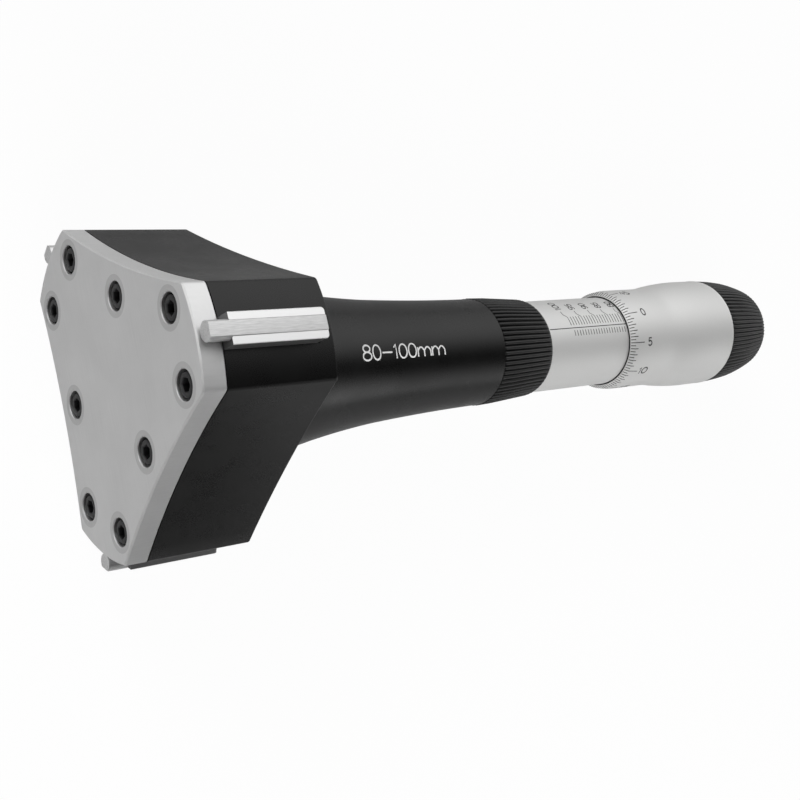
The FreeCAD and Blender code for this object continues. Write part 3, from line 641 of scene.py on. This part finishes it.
def turn_on_lathe(bm, corners, steps=128):
    """Turns a closed profile of stations and radii once round the axis."""
    edges = wire(bm, [on_profile(corner) for corner in corners], CURVE_STEPS)
    vertices = list({v for e in edges for v in e.verts})
    bmesh.ops.spin(bm, geom=vertices + edges, cent=(0, 0, 0), axis=(1, 0, 0), angle=math.tau, steps=steps,
                   use_merge=True)


handle_black = black_anodising("aluminium_turned_anodised_black", "#040404", 0.28)
bm = bmesh.new()
turn_on_lathe(bm, [
    (HANDLE_START, HANDLE_BORE),
    (HANDLE_START, HANDLE_FRONT_RADIUS - HANDLE_EDGE),
    (HEAD_REAR + HANDLE_EDGE, HANDLE_FRONT_RADIUS),
    HANDLE_TAPER_END,
    *HANDLE_CURVE,
    (HANDLE_CURVE[-1][1][0], NECK_RADIUS),
    (NECK_END, NECK_RADIUS),
    (NECK_END, HANDLE_BORE),
    (HANDLE_START, HANDLE_BORE),
])
put_together(bm, "flared_handle", "frame", handle_black, ["handle_body"], sharp=25)


# HANDLE MARKING
# The measuring range, printed in white on the handle in plain letters.
# Each letter has a width and its strokes, in a box one unit high and one of its own widths long.
MARKING_START = 51.0
MARKING_LENGTH = 25.0
MARKING_HEIGHT = 3.45
MARKING_TURN = -11.5
MARKING_LEAN = -0.5
MARKING_WEIGHT = 0.36
INK_HEIGHT = 0.03
RAY_START = 60
LETTER_GAP = 0.17
ROUND_GRID = 0.35
GLYPHS = {
    "0": (0.74, [("AUTO", (0.5, 0), (1, 0.5), (0.5, 1), (0, 0.5), (0.5, 0))]),
    "1": (0.36, [("VECTOR", (0.1, 0.78), (0.7, 1), (0.7, 0))]),
    "2": (0.7, [("AUTO", (0.04, 0.76), (0.5, 1), (0.94, 0.72), (0.62, 0.38), (0, 0)),
                ("VECTOR", (0, 0), (1, 0))]),
    "3": (0.7, [("AUTO", (0.05, 0.86), (0.5, 1), (0.92, 0.76), (0.45, 0.53)),
                ("AUTO", (0.45, 0.53), (1, 0.27), (0.5, 0), (0, 0.13))]),
    "4": (0.74, [("VECTOR", (0.75, 0), (0.75, 1), (0, 0.27), (1, 0.27))]),
    "5": (0.7, [("VECTOR", (0.92, 1), (0.2, 1), (0.1, 0.54)),
                ("AUTO", (0.1, 0.54), (0.55, 0.64), (1, 0.32), (0.5, 0), (0, 0.12))]),
    "8": (0.8, [("AUTO", (0.5, 0), (1, 0.27), (0.5, 0.54), (0, 0.27), (0.5, 0)),
                ("AUTO", (0.5, 0.54), (0.9, 0.77), (0.5, 1), (0.1, 0.77), (0.5, 0.54))]),
    "9": (0.74, [("AUTO", (0.5, 0.4), (1, 0.7), (0.5, 1), (0, 0.7), (0.5, 0.4)),
                 ("AUTO", (1, 0.7), (0.86, 0.25), (0.4, 0), (0.08, 0.1))]),
    "m": (1.25, [("VECTOR", (0, 0), (0, 0.7)),
                 ("AUTO", (0, 0.45), (0.26, 0.7), (0.5, 0.45)),
                 ("VECTOR", (0.5, 0.45), (0.5, 0)),
                 ("AUTO", (0.5, 0.45), (0.76, 0.7), (1, 0.45)),
                 ("VECTOR", (1, 0.45), (1, 0))]),
    "–": (0.95, [("VECTOR", (0, 0.46), (1, 0.46))]),
}


def printed(name, colour, roughness):
    # Printing ink or paint, a few hundredths thick: an even matt colour, slightly thin in places.
    material, tree, shader, spot = finish_of(name, colour, Roughness=roughness)
    patches = add_node(tree, "ShaderNodeTexNoise", "Fac", {"Vector": spot, "Scale": 3.0, "Detail": 3.0})
    sheen = {"Value": patches, "To Min": roughness - 0.1, "To Max": roughness + 0.1}
    add_node(tree, "ShaderNodeMapRange", "Result", sheen, into=shader.inputs["Roughness"])
    return material


def lettering(words, height, length, weight, place):
    """The strokes of words, set flat from the origin to a height and a length, and then put in place."""
    reach = sum(GLYPHS[letter][0] for letter in words) + LETTER_GAP * (len(words) - 1)
    scale = (length - weight) / reach
    strokes = []
    start = weight / 2
    for letter in words:
        width, parts = GLYPHS[letter]
        for kind, *points in parts:
            flat = [(start + x * width * scale, weight / 2 + y * (height - weight), 0) for x, y in points]
            strokes.append((kind, [place @ Vector(point) for point in flat]))
        start += (width + LETTER_GAP) * scale
    return strokes


def draw(bm, strokes, weight):
    """Draws strokes in a flat layout as thin bars of this width, straight or smooth from point to point."""
    lines = bpy.data.curves.new("strokes", "CURVE")
    lines.dimensions = "3D"
    lines.twist_mode = "Z_UP"
    lines.bevel_depth = weight / 2
    lines.bevel_resolution = 1
    lines.resolution_u = 5
    lines.use_fill_caps = True
    for kind, points in strokes:
        closed = (points[0] - points[-1]).length < 0.001
        line = lines.splines.new("BEZIER")
        line.bezier_points.add(len(points) - 1 - closed)
        line.use_cyclic_u = closed
        for knot, point in zip(line.bezier_points, points):
            knot.co = point
            knot.handle_left_type = knot.handle_right_type = kind
    drawing = add_object("strokes", lines)
    bpy.context.view_layer.update()
    flat = bpy.data.meshes.new_from_object(drawing.evaluated_get(bpy.context.evaluated_depsgraph_get()))
    bpy.data.objects.remove(drawing)
    flat.transform(Matrix.Diagonal((1, 1, 2 * INK_HEIGHT / weight, 1)))
    bm.from_mesh(flat)
    bpy.data.meshes.remove(flat)


def wrap(bm, radius_at, radius_drawn, breaks):
    """Cuts a flat layout into narrow strips and lays it round the axis, on a surface of the given radius."""
    sides = [v.co.y for v in bm.verts]
    steps = range(math.ceil((max(sides) - min(sides)) / ROUND_GRID))
    cuts = [((0, min(sides) + step * ROUND_GRID, 0), (0, 1, 0)) for step in steps]
    cuts += [((station, 0, 0), (1, 0, 0)) for station in breaks]
    for place, facing in cuts:
        bmesh.ops.bisect_plane(bm, geom=bm.verts[:] + bm.edges[:] + bm.faces[:], dist=0.0001,
                               plane_co=place, plane_no=facing)
    for vertex in bm.verts:
        turn = math.degrees(vertex.co.y / radius_drawn)
        vertex.co = around(vertex.co.x, radius_at(vertex.co.x) + vertex.co.z, turn)


def radius_of_turned(name):
    """The radius of a turned piece at any station along it, read from the piece by a ray from outside."""
    piece = bpy.data.objects[name]
    back = instrument.inverted()

    def radius_at(station):
        start, end = instrument @ Vector((station, 0, RAY_START)), instrument @ Vector((station, 0, 0))
        spot = piece.ray_cast(start, end - start)[1]
        return (back @ spot).z
    return radius_at


handle_radius = radius_of_turned("flared_handle")
white_ink = printed("printing_ink_white", "#d4d4d4", 0.5)
bm = bmesh.new()
drawn_radius = handle_radius(MARKING_START + MARKING_LENGTH / 2)
marking_place = Matrix.Translation((MARKING_START, math.radians(MARKING_TURN) * drawn_radius, 0))
marking_place @= Matrix.Rotation(math.radians(MARKING_LEAN), 4, "Z")
draw(bm, lettering("80–100mm", MARKING_HEIGHT, MARKING_LENGTH, MARKING_WEIGHT, marking_place), MARKING_WEIGHT)
wrap(bm, handle_radius, drawn_radius, [MARKING_START + i for i in range(int(MARKING_LENGTH) + 1)])
put_together(bm, "handle_marking", "frame", white_ink, [])


# COUPLING COLLAR
# A black anodised collar on the handle's neck, milled with rounded ridges along the axis for the fingers.
# It clamps the micrometer's barrel to the handle.
COLLAR_START = 95.25
COLLAR_END = 112.5
COLLAR_BORE = 11.7
COLLAR_RIDGES = 66
GROOVE_POWER = 2.5
RIDGE_POINTS = 8
COLLAR_STATIONS = [
    (0.0, 12.95, 0.6), (0.25, 13.22, 0.6), (4.4, 13.1, 0.6),
    (16.2, 12.3, 0.5), (16.9, 12.05, 0.25), (17.2, 11.8, 0.0),
]


def ridged(bm, stations, ridges):
    """Draws a ring of rounded ridges through rows, each a station, a ridge's top and a groove's depth."""
    facing = Matrix.Rotation(math.radians(90), 4, "Y")
    segments = ridges * RIDGE_POINTS
    row = bmesh.ops.create_circle(bm, cap_ends=False, segments=segments, radius=1, matrix=facing)["verts"]
    pitch = math.tau / ridges
    for count, (station, top, depth) in enumerate(stations):
        if count:
            edges = list({e for v in row for e in v.link_edges if e.other_vert(v) in set_of_row})
            row = only(BMVert, bmesh.ops.extrude_edge_only(bm, edges=edges)["geom"])
        for vertex in row:
            angle = math.atan2(vertex.co.y, vertex.co.z)
            across = abs(2 * ((angle / pitch + 0.5) % 1) - 1)
            vertex.co = around(station, top - depth * across ** GROOVE_POWER, math.degrees(angle))
        set_of_row = set(row)


collar_black = black_anodising("aluminium_milled_anodised_black", "#0a0a0a", 0.4)
bm = bmesh.new()
ridged(bm, [(COLLAR_START, COLLAR_BORE, 0.0)]
       + [(COLLAR_START + station, top, depth) for station, top, depth in COLLAR_STATIONS]
       + [(COLLAR_END, COLLAR_BORE, 0.0), (COLLAR_START, COLLAR_BORE, 0.0)], COLLAR_RIDGES)
put_together(bm, "ridged_collar", "frame", collar_black, ["coupling_collar"])


# GRADUATED SLEEVE
# A thin tube of steel in satin chrome, pushed over the barrel, with a millimetre scale along it.
# A narrow bead at its front shows as a bright line against the collar.
SLEEVE_RADIUS = 11.65
SLEEVE_START = 112.0
SLEEVE_END = 154.8
SLEEVE_BORE = 10.2
SLEEVE_BEAD = 0.16


def satin_chrome():
    # Steel, blasted to a fine grain and plated with satin chrome: pale grey metal with a soft even gleam.
    # The grain is 0.12 mm, drawn coarser than the real one so that it shows.
    material, tree, shader, spot = finish_of("steel_satin_chrome", "#dbdbda", Metallic=0.78, Roughness=0.58)
    grain = add_node(tree, "ShaderNodeTexNoise", "Fac", {"Vector": spot, "Scale": 8.0, "Detail": 3.0})
    tints = {"Factor": grain, "A": linear("#d2d2d1"), "B": linear("#e4e4e3")}
    add_node(tree, "ShaderNodeMix", "Result", tints, into=shader.inputs["Base Color"], data_type="RGBA")
    sheen = {"Value": grain, "To Min": 0.54, "To Max": 0.64}
    add_node(tree, "ShaderNodeMapRange", "Result", sheen, into=shader.inputs["Roughness"])
    relief = {"Height": grain, "Strength": 0.2, "Distance": RELIEF_DEPTH}
    add_node(tree, "ShaderNodeBump", "Normal", relief, into=shader.inputs["Normal"])
    return material


chrome = satin_chrome()
bm = bmesh.new()
bead_top = (COLLAR_END + SLEEVE_BEAD, SLEEVE_RADIUS + SLEEVE_BEAD)
turn_on_lathe(bm, [
    (SLEEVE_START, SLEEVE_BORE),
    (SLEEVE_START, SLEEVE_RADIUS),
    (COLLAR_END, SLEEVE_RADIUS),
    (bead_top, (COLLAR_END + 2 * SLEEVE_BEAD, SLEEVE_RADIUS)),
    (SLEEVE_END, SLEEVE_RADIUS),
    (SLEEVE_END, SLEEVE_BORE),
    (SLEEVE_START, SLEEVE_BORE),
])
put_together(bm, "chrome_sleeve", "frame", chrome, ["graduated_sleeve"])


# SLEEVE SCALE
# Cut lines filled with black: whole millimetres above the datum line and half millimetres below it.
# Every fifth line has a bent leader to its number, and the numbers are read from the head's side.
READING_100 = 121.0
DATUM_TURN = 7.3
THIMBLE_FRONT = 141.5
LINE_WIDTH = 0.22
MILLIMETRE_LINE = (11.0, 23.4)
LEADER_TURNS = (22.8, 27.6, 32.5)
LEADER_LEAN = 1.05
HALF_LINE = (4.0, -3.1)
SLEEVE_NUMBER_TURN = 35.0
SLEEVE_NUMBER_HEIGHT = 2.3
SLEEVE_NUMBER_WEIGHT = 0.3
SLEEVE_DIGIT_WIDTH = 1.35


def on_sleeve(station, degrees):
    """A place on the sleeve, in the flat layout."""
    return Vector((station, math.radians(degrees) * SLEEVE_RADIUS, 0))


black_fill = printed("engraving_paint_black", "#151515", 0.55)
datum_ends = [on_sleeve(station, DATUM_TURN) for station in (COLLAR_END + 0.4, THIMBLE_FRONT + 2)]
scale_lines = [("VECTOR", datum_ends)]
numbers = []
for reading in range(80, 101):
    station = READING_100 + 100 - reading
    if reading > 80:
        scale_lines.append(("VECTOR", [on_sleeve(station + 0.5, turn) for turn in HALF_LINE]))
    if reading % 5:
        scale_lines.append(("VECTOR", [on_sleeve(station, turn) for turn in MILLIMETRE_LINE]))
        continue
    scale_lines.append(("VECTOR", [
        on_sleeve(station, MILLIMETRE_LINE[0]),
        on_sleeve(station, LEADER_TURNS[0]),
        on_sleeve(station - LEADER_LEAN, LEADER_TURNS[1]),
        on_sleeve(station - LEADER_LEAN, LEADER_TURNS[2]),
    ]))
    foot = station - LEADER_LEAN + SLEEVE_NUMBER_HEIGHT / 2
    place = Matrix.Translation(on_sleeve(foot, SLEEVE_NUMBER_TURN))
    words = str(reading)
    numbers += lettering(words, SLEEVE_NUMBER_HEIGHT, SLEEVE_DIGIT_WIDTH * len(words), SLEEVE_NUMBER_WEIGHT,
                         place @ Matrix.Rotation(math.radians(90), 4, "Z"))
bm = bmesh.new()
draw(bm, scale_lines, LINE_WIDTH)
draw(bm, numbers, SLEEVE_NUMBER_WEIGHT)
wrap(bm, lambda station: SLEEVE_RADIUS, SLEEVE_RADIUS, [])
put_together(bm, "sleeve_scale", "frame", black_fill, [])


# THIMBLE
# A steel thimble in satin chrome, turned with a bevelled front edge and a swelling towards the knob.
# It is drawn onto the spindle's taper by a nut inside, and turns with the screw.
THIMBLE_PROFILE = [
    (THIMBLE_FRONT, 12.0), (THIMBLE_FRONT, 12.12), (THIMBLE_FRONT + 0.08, 12.2),
    (142.7, 12.96), (145.4, 13.33), (156.8, 13.33),
    ((159.4, 13.43), (162.0, 13.76)), ((167.7, 14.42), (174.0, 14.75)),
    (182.35, 14.75), ((182.5, 14.82), (182.65, 14.75)), (182.7, 14.6), (182.7, 12.0),
    (THIMBLE_FRONT, 12.0),
]
bm = bmesh.new()
turn_on_lathe(bm, THIMBLE_PROFILE)
put_together(bm, "chrome_thimble", "spindle", chrome, ["thimble"], sharp=20)


# THIMBLE SCALE
# One hundred lines cut round the thimble's front and filled with black, and a number at each tenth line.
# A whole turn is half a millimetre, so that each line is five thousandths.
ZERO_TURN = 18.1
DIVISION = 3.6
TENTH_LINE = 4.2
FIFTH_LINE = 2.1
SHORT_LINE = 1.2
THIMBLE_RADIUS = 13.33
THIMBLE_NUMBER_MIDDLE = 148.0
THIMBLE_NUMBER_HEIGHT = 2.37
THIMBLE_DIGIT_WIDTH = 1.75
THIMBLE_NUMBER_WEIGHT = 0.38
THIMBLE_DIGIT_GAP = 0.3
THIMBLE_LINE_START = 0.1
THIMBLE_BREAKS = [141.9, 142.1, 142.7, 143.6, 144.5, 145.4]

thimble_radius = radius_of_turned("chrome_thimble")
scale_lines = []
numbers = []
for count in range(100):
    height = math.radians(ZERO_TURN - count * DIVISION) * THIMBLE_RADIUS
    length = TENTH_LINE if count % 10 == 0 else (FIFTH_LINE if count % 2 == 0 else SHORT_LINE)
    ends = [Vector((THIMBLE_FRONT + off_edge, height, 0)) for off_edge in (THIMBLE_LINE_START, length)]
    scale_lines.append(("VECTOR", ends))
    if count % 10 == 0:
        words = str(count // 2)
        wide = THIMBLE_DIGIT_WIDTH * len(words) + THIMBLE_DIGIT_GAP * (len(words) - 1)
        place = Matrix.Translation((THIMBLE_NUMBER_MIDDLE - wide / 2, height - THIMBLE_NUMBER_HEIGHT / 2, 0))
        numbers += lettering(words, THIMBLE_NUMBER_HEIGHT, wide, THIMBLE_NUMBER_WEIGHT, place)
bm = bmesh.new()
draw(bm, scale_lines, LINE_WIDTH)
draw(bm, numbers, THIMBLE_NUMBER_WEIGHT)
wrap(bm, thimble_radius, THIMBLE_RADIUS, THIMBLE_BREAKS)
put_together(bm, "thimble_scale", "spindle", black_fill, [])


# GAP SHADE RING
# A thin black ring under the thimble's front edge, in the gap over the sleeve: painted shade for the gap.
GAP_SHADE_OUTER = 11.95
GAP_SHADE_INNER = 11.68
GAP_SHADE_START = 141.38
GAP_SHADE_END = 142.8


def black_polymer():
    # Painted shade for the gap under the thimble: a matt black with a faint mottle 0.3 mm across.
    material, tree, shader, spot = finish_of("matt_black_painted_gap_shade", "#161616", Roughness=0.7)
    mottle = add_node(tree, "ShaderNodeTexNoise", "Fac", {"Vector": spot, "Scale": 3.3, "Detail": 3.0})
    sheen = {"Value": mottle, "To Min": 0.6, "To Max": 0.8}
    add_node(tree, "ShaderNodeMapRange", "Result", sheen, into=shader.inputs["Roughness"])
    return material


gap_shade_material = black_polymer()
bm = bmesh.new()
turn_on_lathe(bm, [(GAP_SHADE_START, GAP_SHADE_INNER), (GAP_SHADE_START, GAP_SHADE_OUTER), (GAP_SHADE_END, GAP_SHADE_OUTER),
                   (GAP_SHADE_END, GAP_SHADE_INNER), (GAP_SHADE_START, GAP_SHADE_INNER)])
put_together(bm, "rubber_wiper_ring", "spindle", gap_shade_material, ["wiper_ring"])


# RATCHET KNOB
# A domed knob of aluminium, milled with rounded ridges and anodised black. It turns the thimble
# through a ratchet, which slips at the measuring force.
KNOB_START = 182.8
KNOB_RIDGES = 74
KNOB_STATIONS = [
    (182.8, 14.5, 0.1), (183.05, 14.73, 0.42), (185.5, 14.62, 0.45), (188.0, 14.46, 0.45),
    (190.5, 14.24, 0.45), (193.0, 13.93, 0.45), (195.5, 13.43, 0.44), (197.5, 12.95, 0.43),
    (199.5, 12.44, 0.42), (201.5, 11.82, 0.4), (203.0, 10.93, 0.36), (204.2, 10.1, 0.3),
    (204.7, 9.45, 0.15),
]
KNOB_RIM = 12.0
KNOB_RECESS = (203.9, 8.95)
bm = bmesh.new()
rim_station = (KNOB_START, KNOB_RIM, 0.0)
recess = [(KNOB_STATIONS[-1][0], KNOB_RECESS[1], 0.0), (*KNOB_RECESS, 0.0)]
ridged(bm, [rim_station, *KNOB_STATIONS, *recess, rim_station], KNOB_RIDGES)
put_together(bm, "ridged_knob", "knob", collar_black, ["ratchet_knob"], sharp=40)


# KNOB CAP
# A smooth flat cap of black anodised aluminium with a bevelled rim.
# It is pushed into the end of the knob, over its screw.
CAP_RADIUS = 8.9
CAP_END = 205.8
CAP_BEVEL = 0.6
bm = bmesh.new()
turn_on_lathe(bm, [(KNOB_RECESS[0], 0.0), (KNOB_RECESS[0], CAP_RADIUS), (CAP_END - CAP_BEVEL, CAP_RADIUS),
                   (CAP_END, CAP_RADIUS - CAP_BEVEL), (CAP_END, 0.0)], steps=96)
put_together(bm, "bevelled_cap", "knob", head_black, ["knob_cap"])


# PIECES INSIDE
# The screw, the cone, the nuts and the ratchet are hidden in the instrument, or show only in a gap.
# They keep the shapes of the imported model, and take their finishes here.


def bronze():
    # Tin bronze, turned: a warm brown gold with rings left by the tool, 0.25 mm apart.
    material, tree, shader, spot = finish_of("tin_bronze_turned", "#b98a4c", Metallic=1.0, Roughness=0.35)
    rings = add_node(tree, "ShaderNodeTexWave", "Fac", {"Vector": spot, "Scale": 1.25, "Distortion": 1.0},
                     wave_type="BANDS", bands_direction="X")
    sheen = {"Value": rings, "To Min": 0.28, "To Max": 0.45}
    add_node(tree, "ShaderNodeMapRange", "Result", sheen, into=shader.inputs["Roughness"])
    return material


bush_bronze = bronze()
inner_finishes = {
    "cone": anvil_steel,
    "thrust_ball": anvil_steel,
    "spindle": anvil_steel,
    "ratchet_hub": anvil_steel,
    "ratchet_ring": anvil_steel,
    "guide_bush": bush_bronze,
    "spindle_nut": bush_bronze,
    "barrel": plate_steel,
    "adjusting_nut": screw_black,
    "thimble_nut": screw_black,
    "retaining_screw": screw_black,
}
for name, material in inner_finishes.items():
    node = frame["nodes"][name]
    node.data.materials.clear()
    node.data.materials.append(material)


def spring_steel():
    # Music wire, drawn and coiled: a bright grey metal with drawing lines 0.1 mm apart.
    material, tree, shader, spot = finish_of("music_wire_drawn", "#a6a6a8", Metallic=1.0, Roughness=0.32)
    lines = add_node(tree, "ShaderNodeTexNoise", "Fac", {"Vector": spot, "Scale": 10.0, "Detail": 2.0})
    sheen = {"Value": lines, "To Min": 0.25, "To Max": 0.4}
    add_node(tree, "ShaderNodeMapRange", "Result", sheen, into=shader.inputs["Roughness"])
    return material


def coils(name, body, material):
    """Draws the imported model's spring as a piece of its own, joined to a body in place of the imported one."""
    mesh = frame["nodes"][name].data.copy()
    mesh.materials.clear()
    mesh.materials.append(material)
    made = add_object(name + "_coils", mesh)
    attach(made, body)
    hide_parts(name)
    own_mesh(made)


music_wire = spring_steel()
for letter, degrees in BODIES.items():
    coils(f"anvil_spring_{letter}", "frame",
          music_wire)
coils("ratchet_spring", "knob", music_wire)


# BENCH, LIGHT AND CAMERA
# A white bench top in a white tent that is open along its top, over the instrument and towards the camera,
# so smooth pieces mirror a dark band between two bright ones. The tent is in the world, with a panel towards
# the knob. Two soft boxes light the instrument and the bench, and nothing mirrors them.
FLOOR_REACH = 3.0
WHITE_SHARE = 0.96
PAINTED_SHADE_PLACE = (-0.06, -0.135, 0.0)
PAINTED_SHADE_FADE = {"From Min": 0.025, "From Max": 0.062, "To Min": 1.0, "To Max": 0.25}
OPENING_MIDDLE = math.radians(-25)
OPENING = {"From Min": math.radians(5), "From Max": math.radians(56), "To Min": 0.05}
UPPER_CLOTH = {"From Min": 0.45, "From Max": 0.65, "To Min": 1.6, "To Max": 1.3}
FAR_SIDE = {"From Min": math.radians(45), "From Max": math.radians(85), "To Min": 1.0, "To Max": 0.5}
LOWER_CLOTH = {"From Min": 0.5, "From Max": 0.6, "To Min": 0.2, "To Max": 0.6}
REAR_PANEL = {"From Min": 0.67, "From Max": 0.75, "To Min": 0.0, "To Max": 1.7}
TENT_GLOW = 0.25
LAMP_AIM = (60, 0, 0)

floor_material = bpy.data.materials.new("white_laminate")
floor_material.use_nodes = True
tree = floor_material.node_tree
laminate = tree.nodes["Principled BSDF"]
laminate.inputs["Base Color"].default_value = linear("#d8d8d8")
laminate.inputs["Roughness"].default_value = 0.8
# The camera sees the bench as nearly white. Its reflection is dimmed, most round one spot in front of the head:
# painted shade that only reflections show.
to_camera = add_node(tree, "ShaderNodeLightPath", "Is Camera Ray")
to_mirror = add_node(tree, "ShaderNodeLightPath", "Is Glossy Ray")
floor_spot = add_node(tree, "ShaderNodeTexCoord", "Object")
to_painted_shade = add_node(tree, "ShaderNodeVectorMath", "Value", {0: floor_spot, 1: PAINTED_SHADE_PLACE},
                   operation="DISTANCE")
painted_shade_share = add_node(tree, "ShaderNodeMapRange", "Result", {"Value": to_painted_shade, **PAINTED_SHADE_FADE},
                  interpolation_type="SMOOTHSTEP")
reflected = add_node(tree, "ShaderNodeMath", "Value", {0: to_mirror, 1: painted_shade_share}, operation="MULTIPLY")
share = add_node(tree, "ShaderNodeMath", "Value", {0: to_camera, 1: WHITE_SHARE, 2: reflected},
                 operation="MULTIPLY_ADD")
white = add_node(tree, "ShaderNodeEmission", "Emission", {"Color": (1, 1, 1, 1), "Strength": to_camera})
add_node(tree, "ShaderNodeMixShader", "Shader", {0: share, 1: laminate.outputs["BSDF"], 2: white},
         into=tree.nodes["Material Output"].inputs["Surface"])
bm = bmesh.new()
bmesh.ops.create_grid(bm, x_segments=2, y_segments=2, size=FLOOR_REACH)
floor_mesh = bpy.data.meshes.new("bench_top")
bm.to_mesh(floor_mesh)
bm.free()
floor_mesh.materials.append(floor_material)
floor = add_object("bench_top", floor_mesh)

world = bpy.data.worlds.new("studio")
bpy.context.scene.world = world
world.use_nodes = True
tree = world.node_tree
tent = tree.nodes["Background"]
tent.inputs["Color"].default_value = (1, 1, 1, 1)
looking = add_node(tree, "ShaderNodeTexCoord", "Generated")
to_rear, to_side, to_top = (
    add_node(tree, "ShaderNodeVectorMath", "Value", {0: looking, 1: axis}, operation="DOT_PRODUCT")
    for axis in (along, sideways, upward))
# The turn round the instrument's axis says whether a reflection meets the opening, the cloth above it or
# the cloth below it. How far the reflection points to the rear says how bright the cloth is there.
turn = add_node(tree, "ShaderNodeMath", "Value", {0: to_side, 1: to_top}, operation="ARCTAN2")
off_middle = add_node(tree, "ShaderNodeMath", "Value", {0: turn, 1: OPENING_MIDDLE}, operation="SUBTRACT")
distance = add_node(tree, "ShaderNodeMath", "Value", {0: off_middle}, operation="ABSOLUTE")
upper_cloth = add_node(tree, "ShaderNodeMapRange", "Result", {"Value": to_rear, **UPPER_CLOTH})
far_share = add_node(tree, "ShaderNodeMapRange", "Result", {"Value": turn, **FAR_SIDE})
upper_level = add_node(tree, "ShaderNodeMath", "Value", {0: upper_cloth, 1: far_share}, operation="MULTIPLY")
lower_cloth = add_node(tree, "ShaderNodeMapRange", "Result", {"Value": to_rear, **LOWER_CLOTH})
rear_panel = add_node(tree, "ShaderNodeMapRange", "Result", {"Value": to_rear, **REAR_PANEL})
lower_level = add_node(tree, "ShaderNodeMath", "Value", {0: lower_cloth, 1: rear_panel}, operation="ADD")
above = add_node(tree, "ShaderNodeMath", "Value", {0: off_middle, 1: 0.0}, operation="GREATER_THAN")
brightest = add_node(tree, "ShaderNodeMix", "Result", {"Factor": above, "A": lower_level, "B": upper_level},
                     data_type="FLOAT")
cloth = add_node(tree, "ShaderNodeMapRange", "Result", {"Value": distance, **OPENING, "To Max": brightest},
                 interpolation_type="SMOOTHSTEP")
# Only reflections see the tent. Other light gets an even glow, and the camera sees plain white.
to_camera = add_node(tree, "ShaderNodeLightPath", "Is Camera Ray")
through_glass = add_node(tree, "ShaderNodeLightPath", "Is Transmission Ray")
to_mirror = add_node(tree, "ShaderNodeLightPath", "Is Glossy Ray")
reflected = add_node(tree, "ShaderNodeMix", "Result", {"Factor": to_mirror, "A": TENT_GLOW, "B": cloth},
                     data_type="FLOAT")
straight = add_node(tree, "ShaderNodeMath", "Value", {0: to_camera, 1: through_glass}, operation="MAXIMUM")
add_node(tree, "ShaderNodeMix", "Result", {"Factor": straight, "A": reflected, "B": 1.0},
         into=tent.inputs["Strength"], data_type="FLOAT")


def soft_lamp(name, place, size, power):
    """A square soft box that faces a point of the instrument and is mirrored by nothing."""
    lamp = bpy.data.lights.new(name, "AREA")
    lamp.size = size
    lamp.energy = power
    lit = add_object(name, lamp)
    lit.location = instrument @ Vector(place)
    lit.rotation_euler = (instrument @ Vector(LAMP_AIM) - lit.location).to_track_quat("-Z", "Y").to_euler()
    lit.visible_glossy = False


soft_lamp("key_soft_box", (-250, -1000, 200), 0.85, 28.0)
soft_lamp("fill_soft_box", (-380, 960, 520), 0.6, 9.0)

# The camera stands at the photograph's place, in front of the head and above it.
EYE = Vector((-104.598, -44.179, 216.05))
AIM = Vector((70.722, -9.774, 0))
ROLL = 12.41
FOCAL_LENGTH = 54.369

camera_data = bpy.data.cameras.new("photograph")
camera_data.lens = FOCAL_LENGTH
camera_data.sensor_width = 36.0
camera_data.clip_start = 0.01
camera = add_object("photograph", camera_data)
forward = (turned @ (AIM - EYE)).normalized()
level_up = (sideways - sideways.project(forward)).normalized()
roll = math.radians(ROLL)
camera_up = level_up * math.cos(roll) + forward.cross(level_up) * math.sin(roll)
camera_axes = Matrix((forward.cross(camera_up), camera_up, -forward)).transposed()
camera.matrix_world = Matrix.Translation(instrument @ EYE) @ camera_axes.to_4x4()
bpy.context.scene.camera = camera
bpy.context.scene.view_settings.view_transform = "Standard"
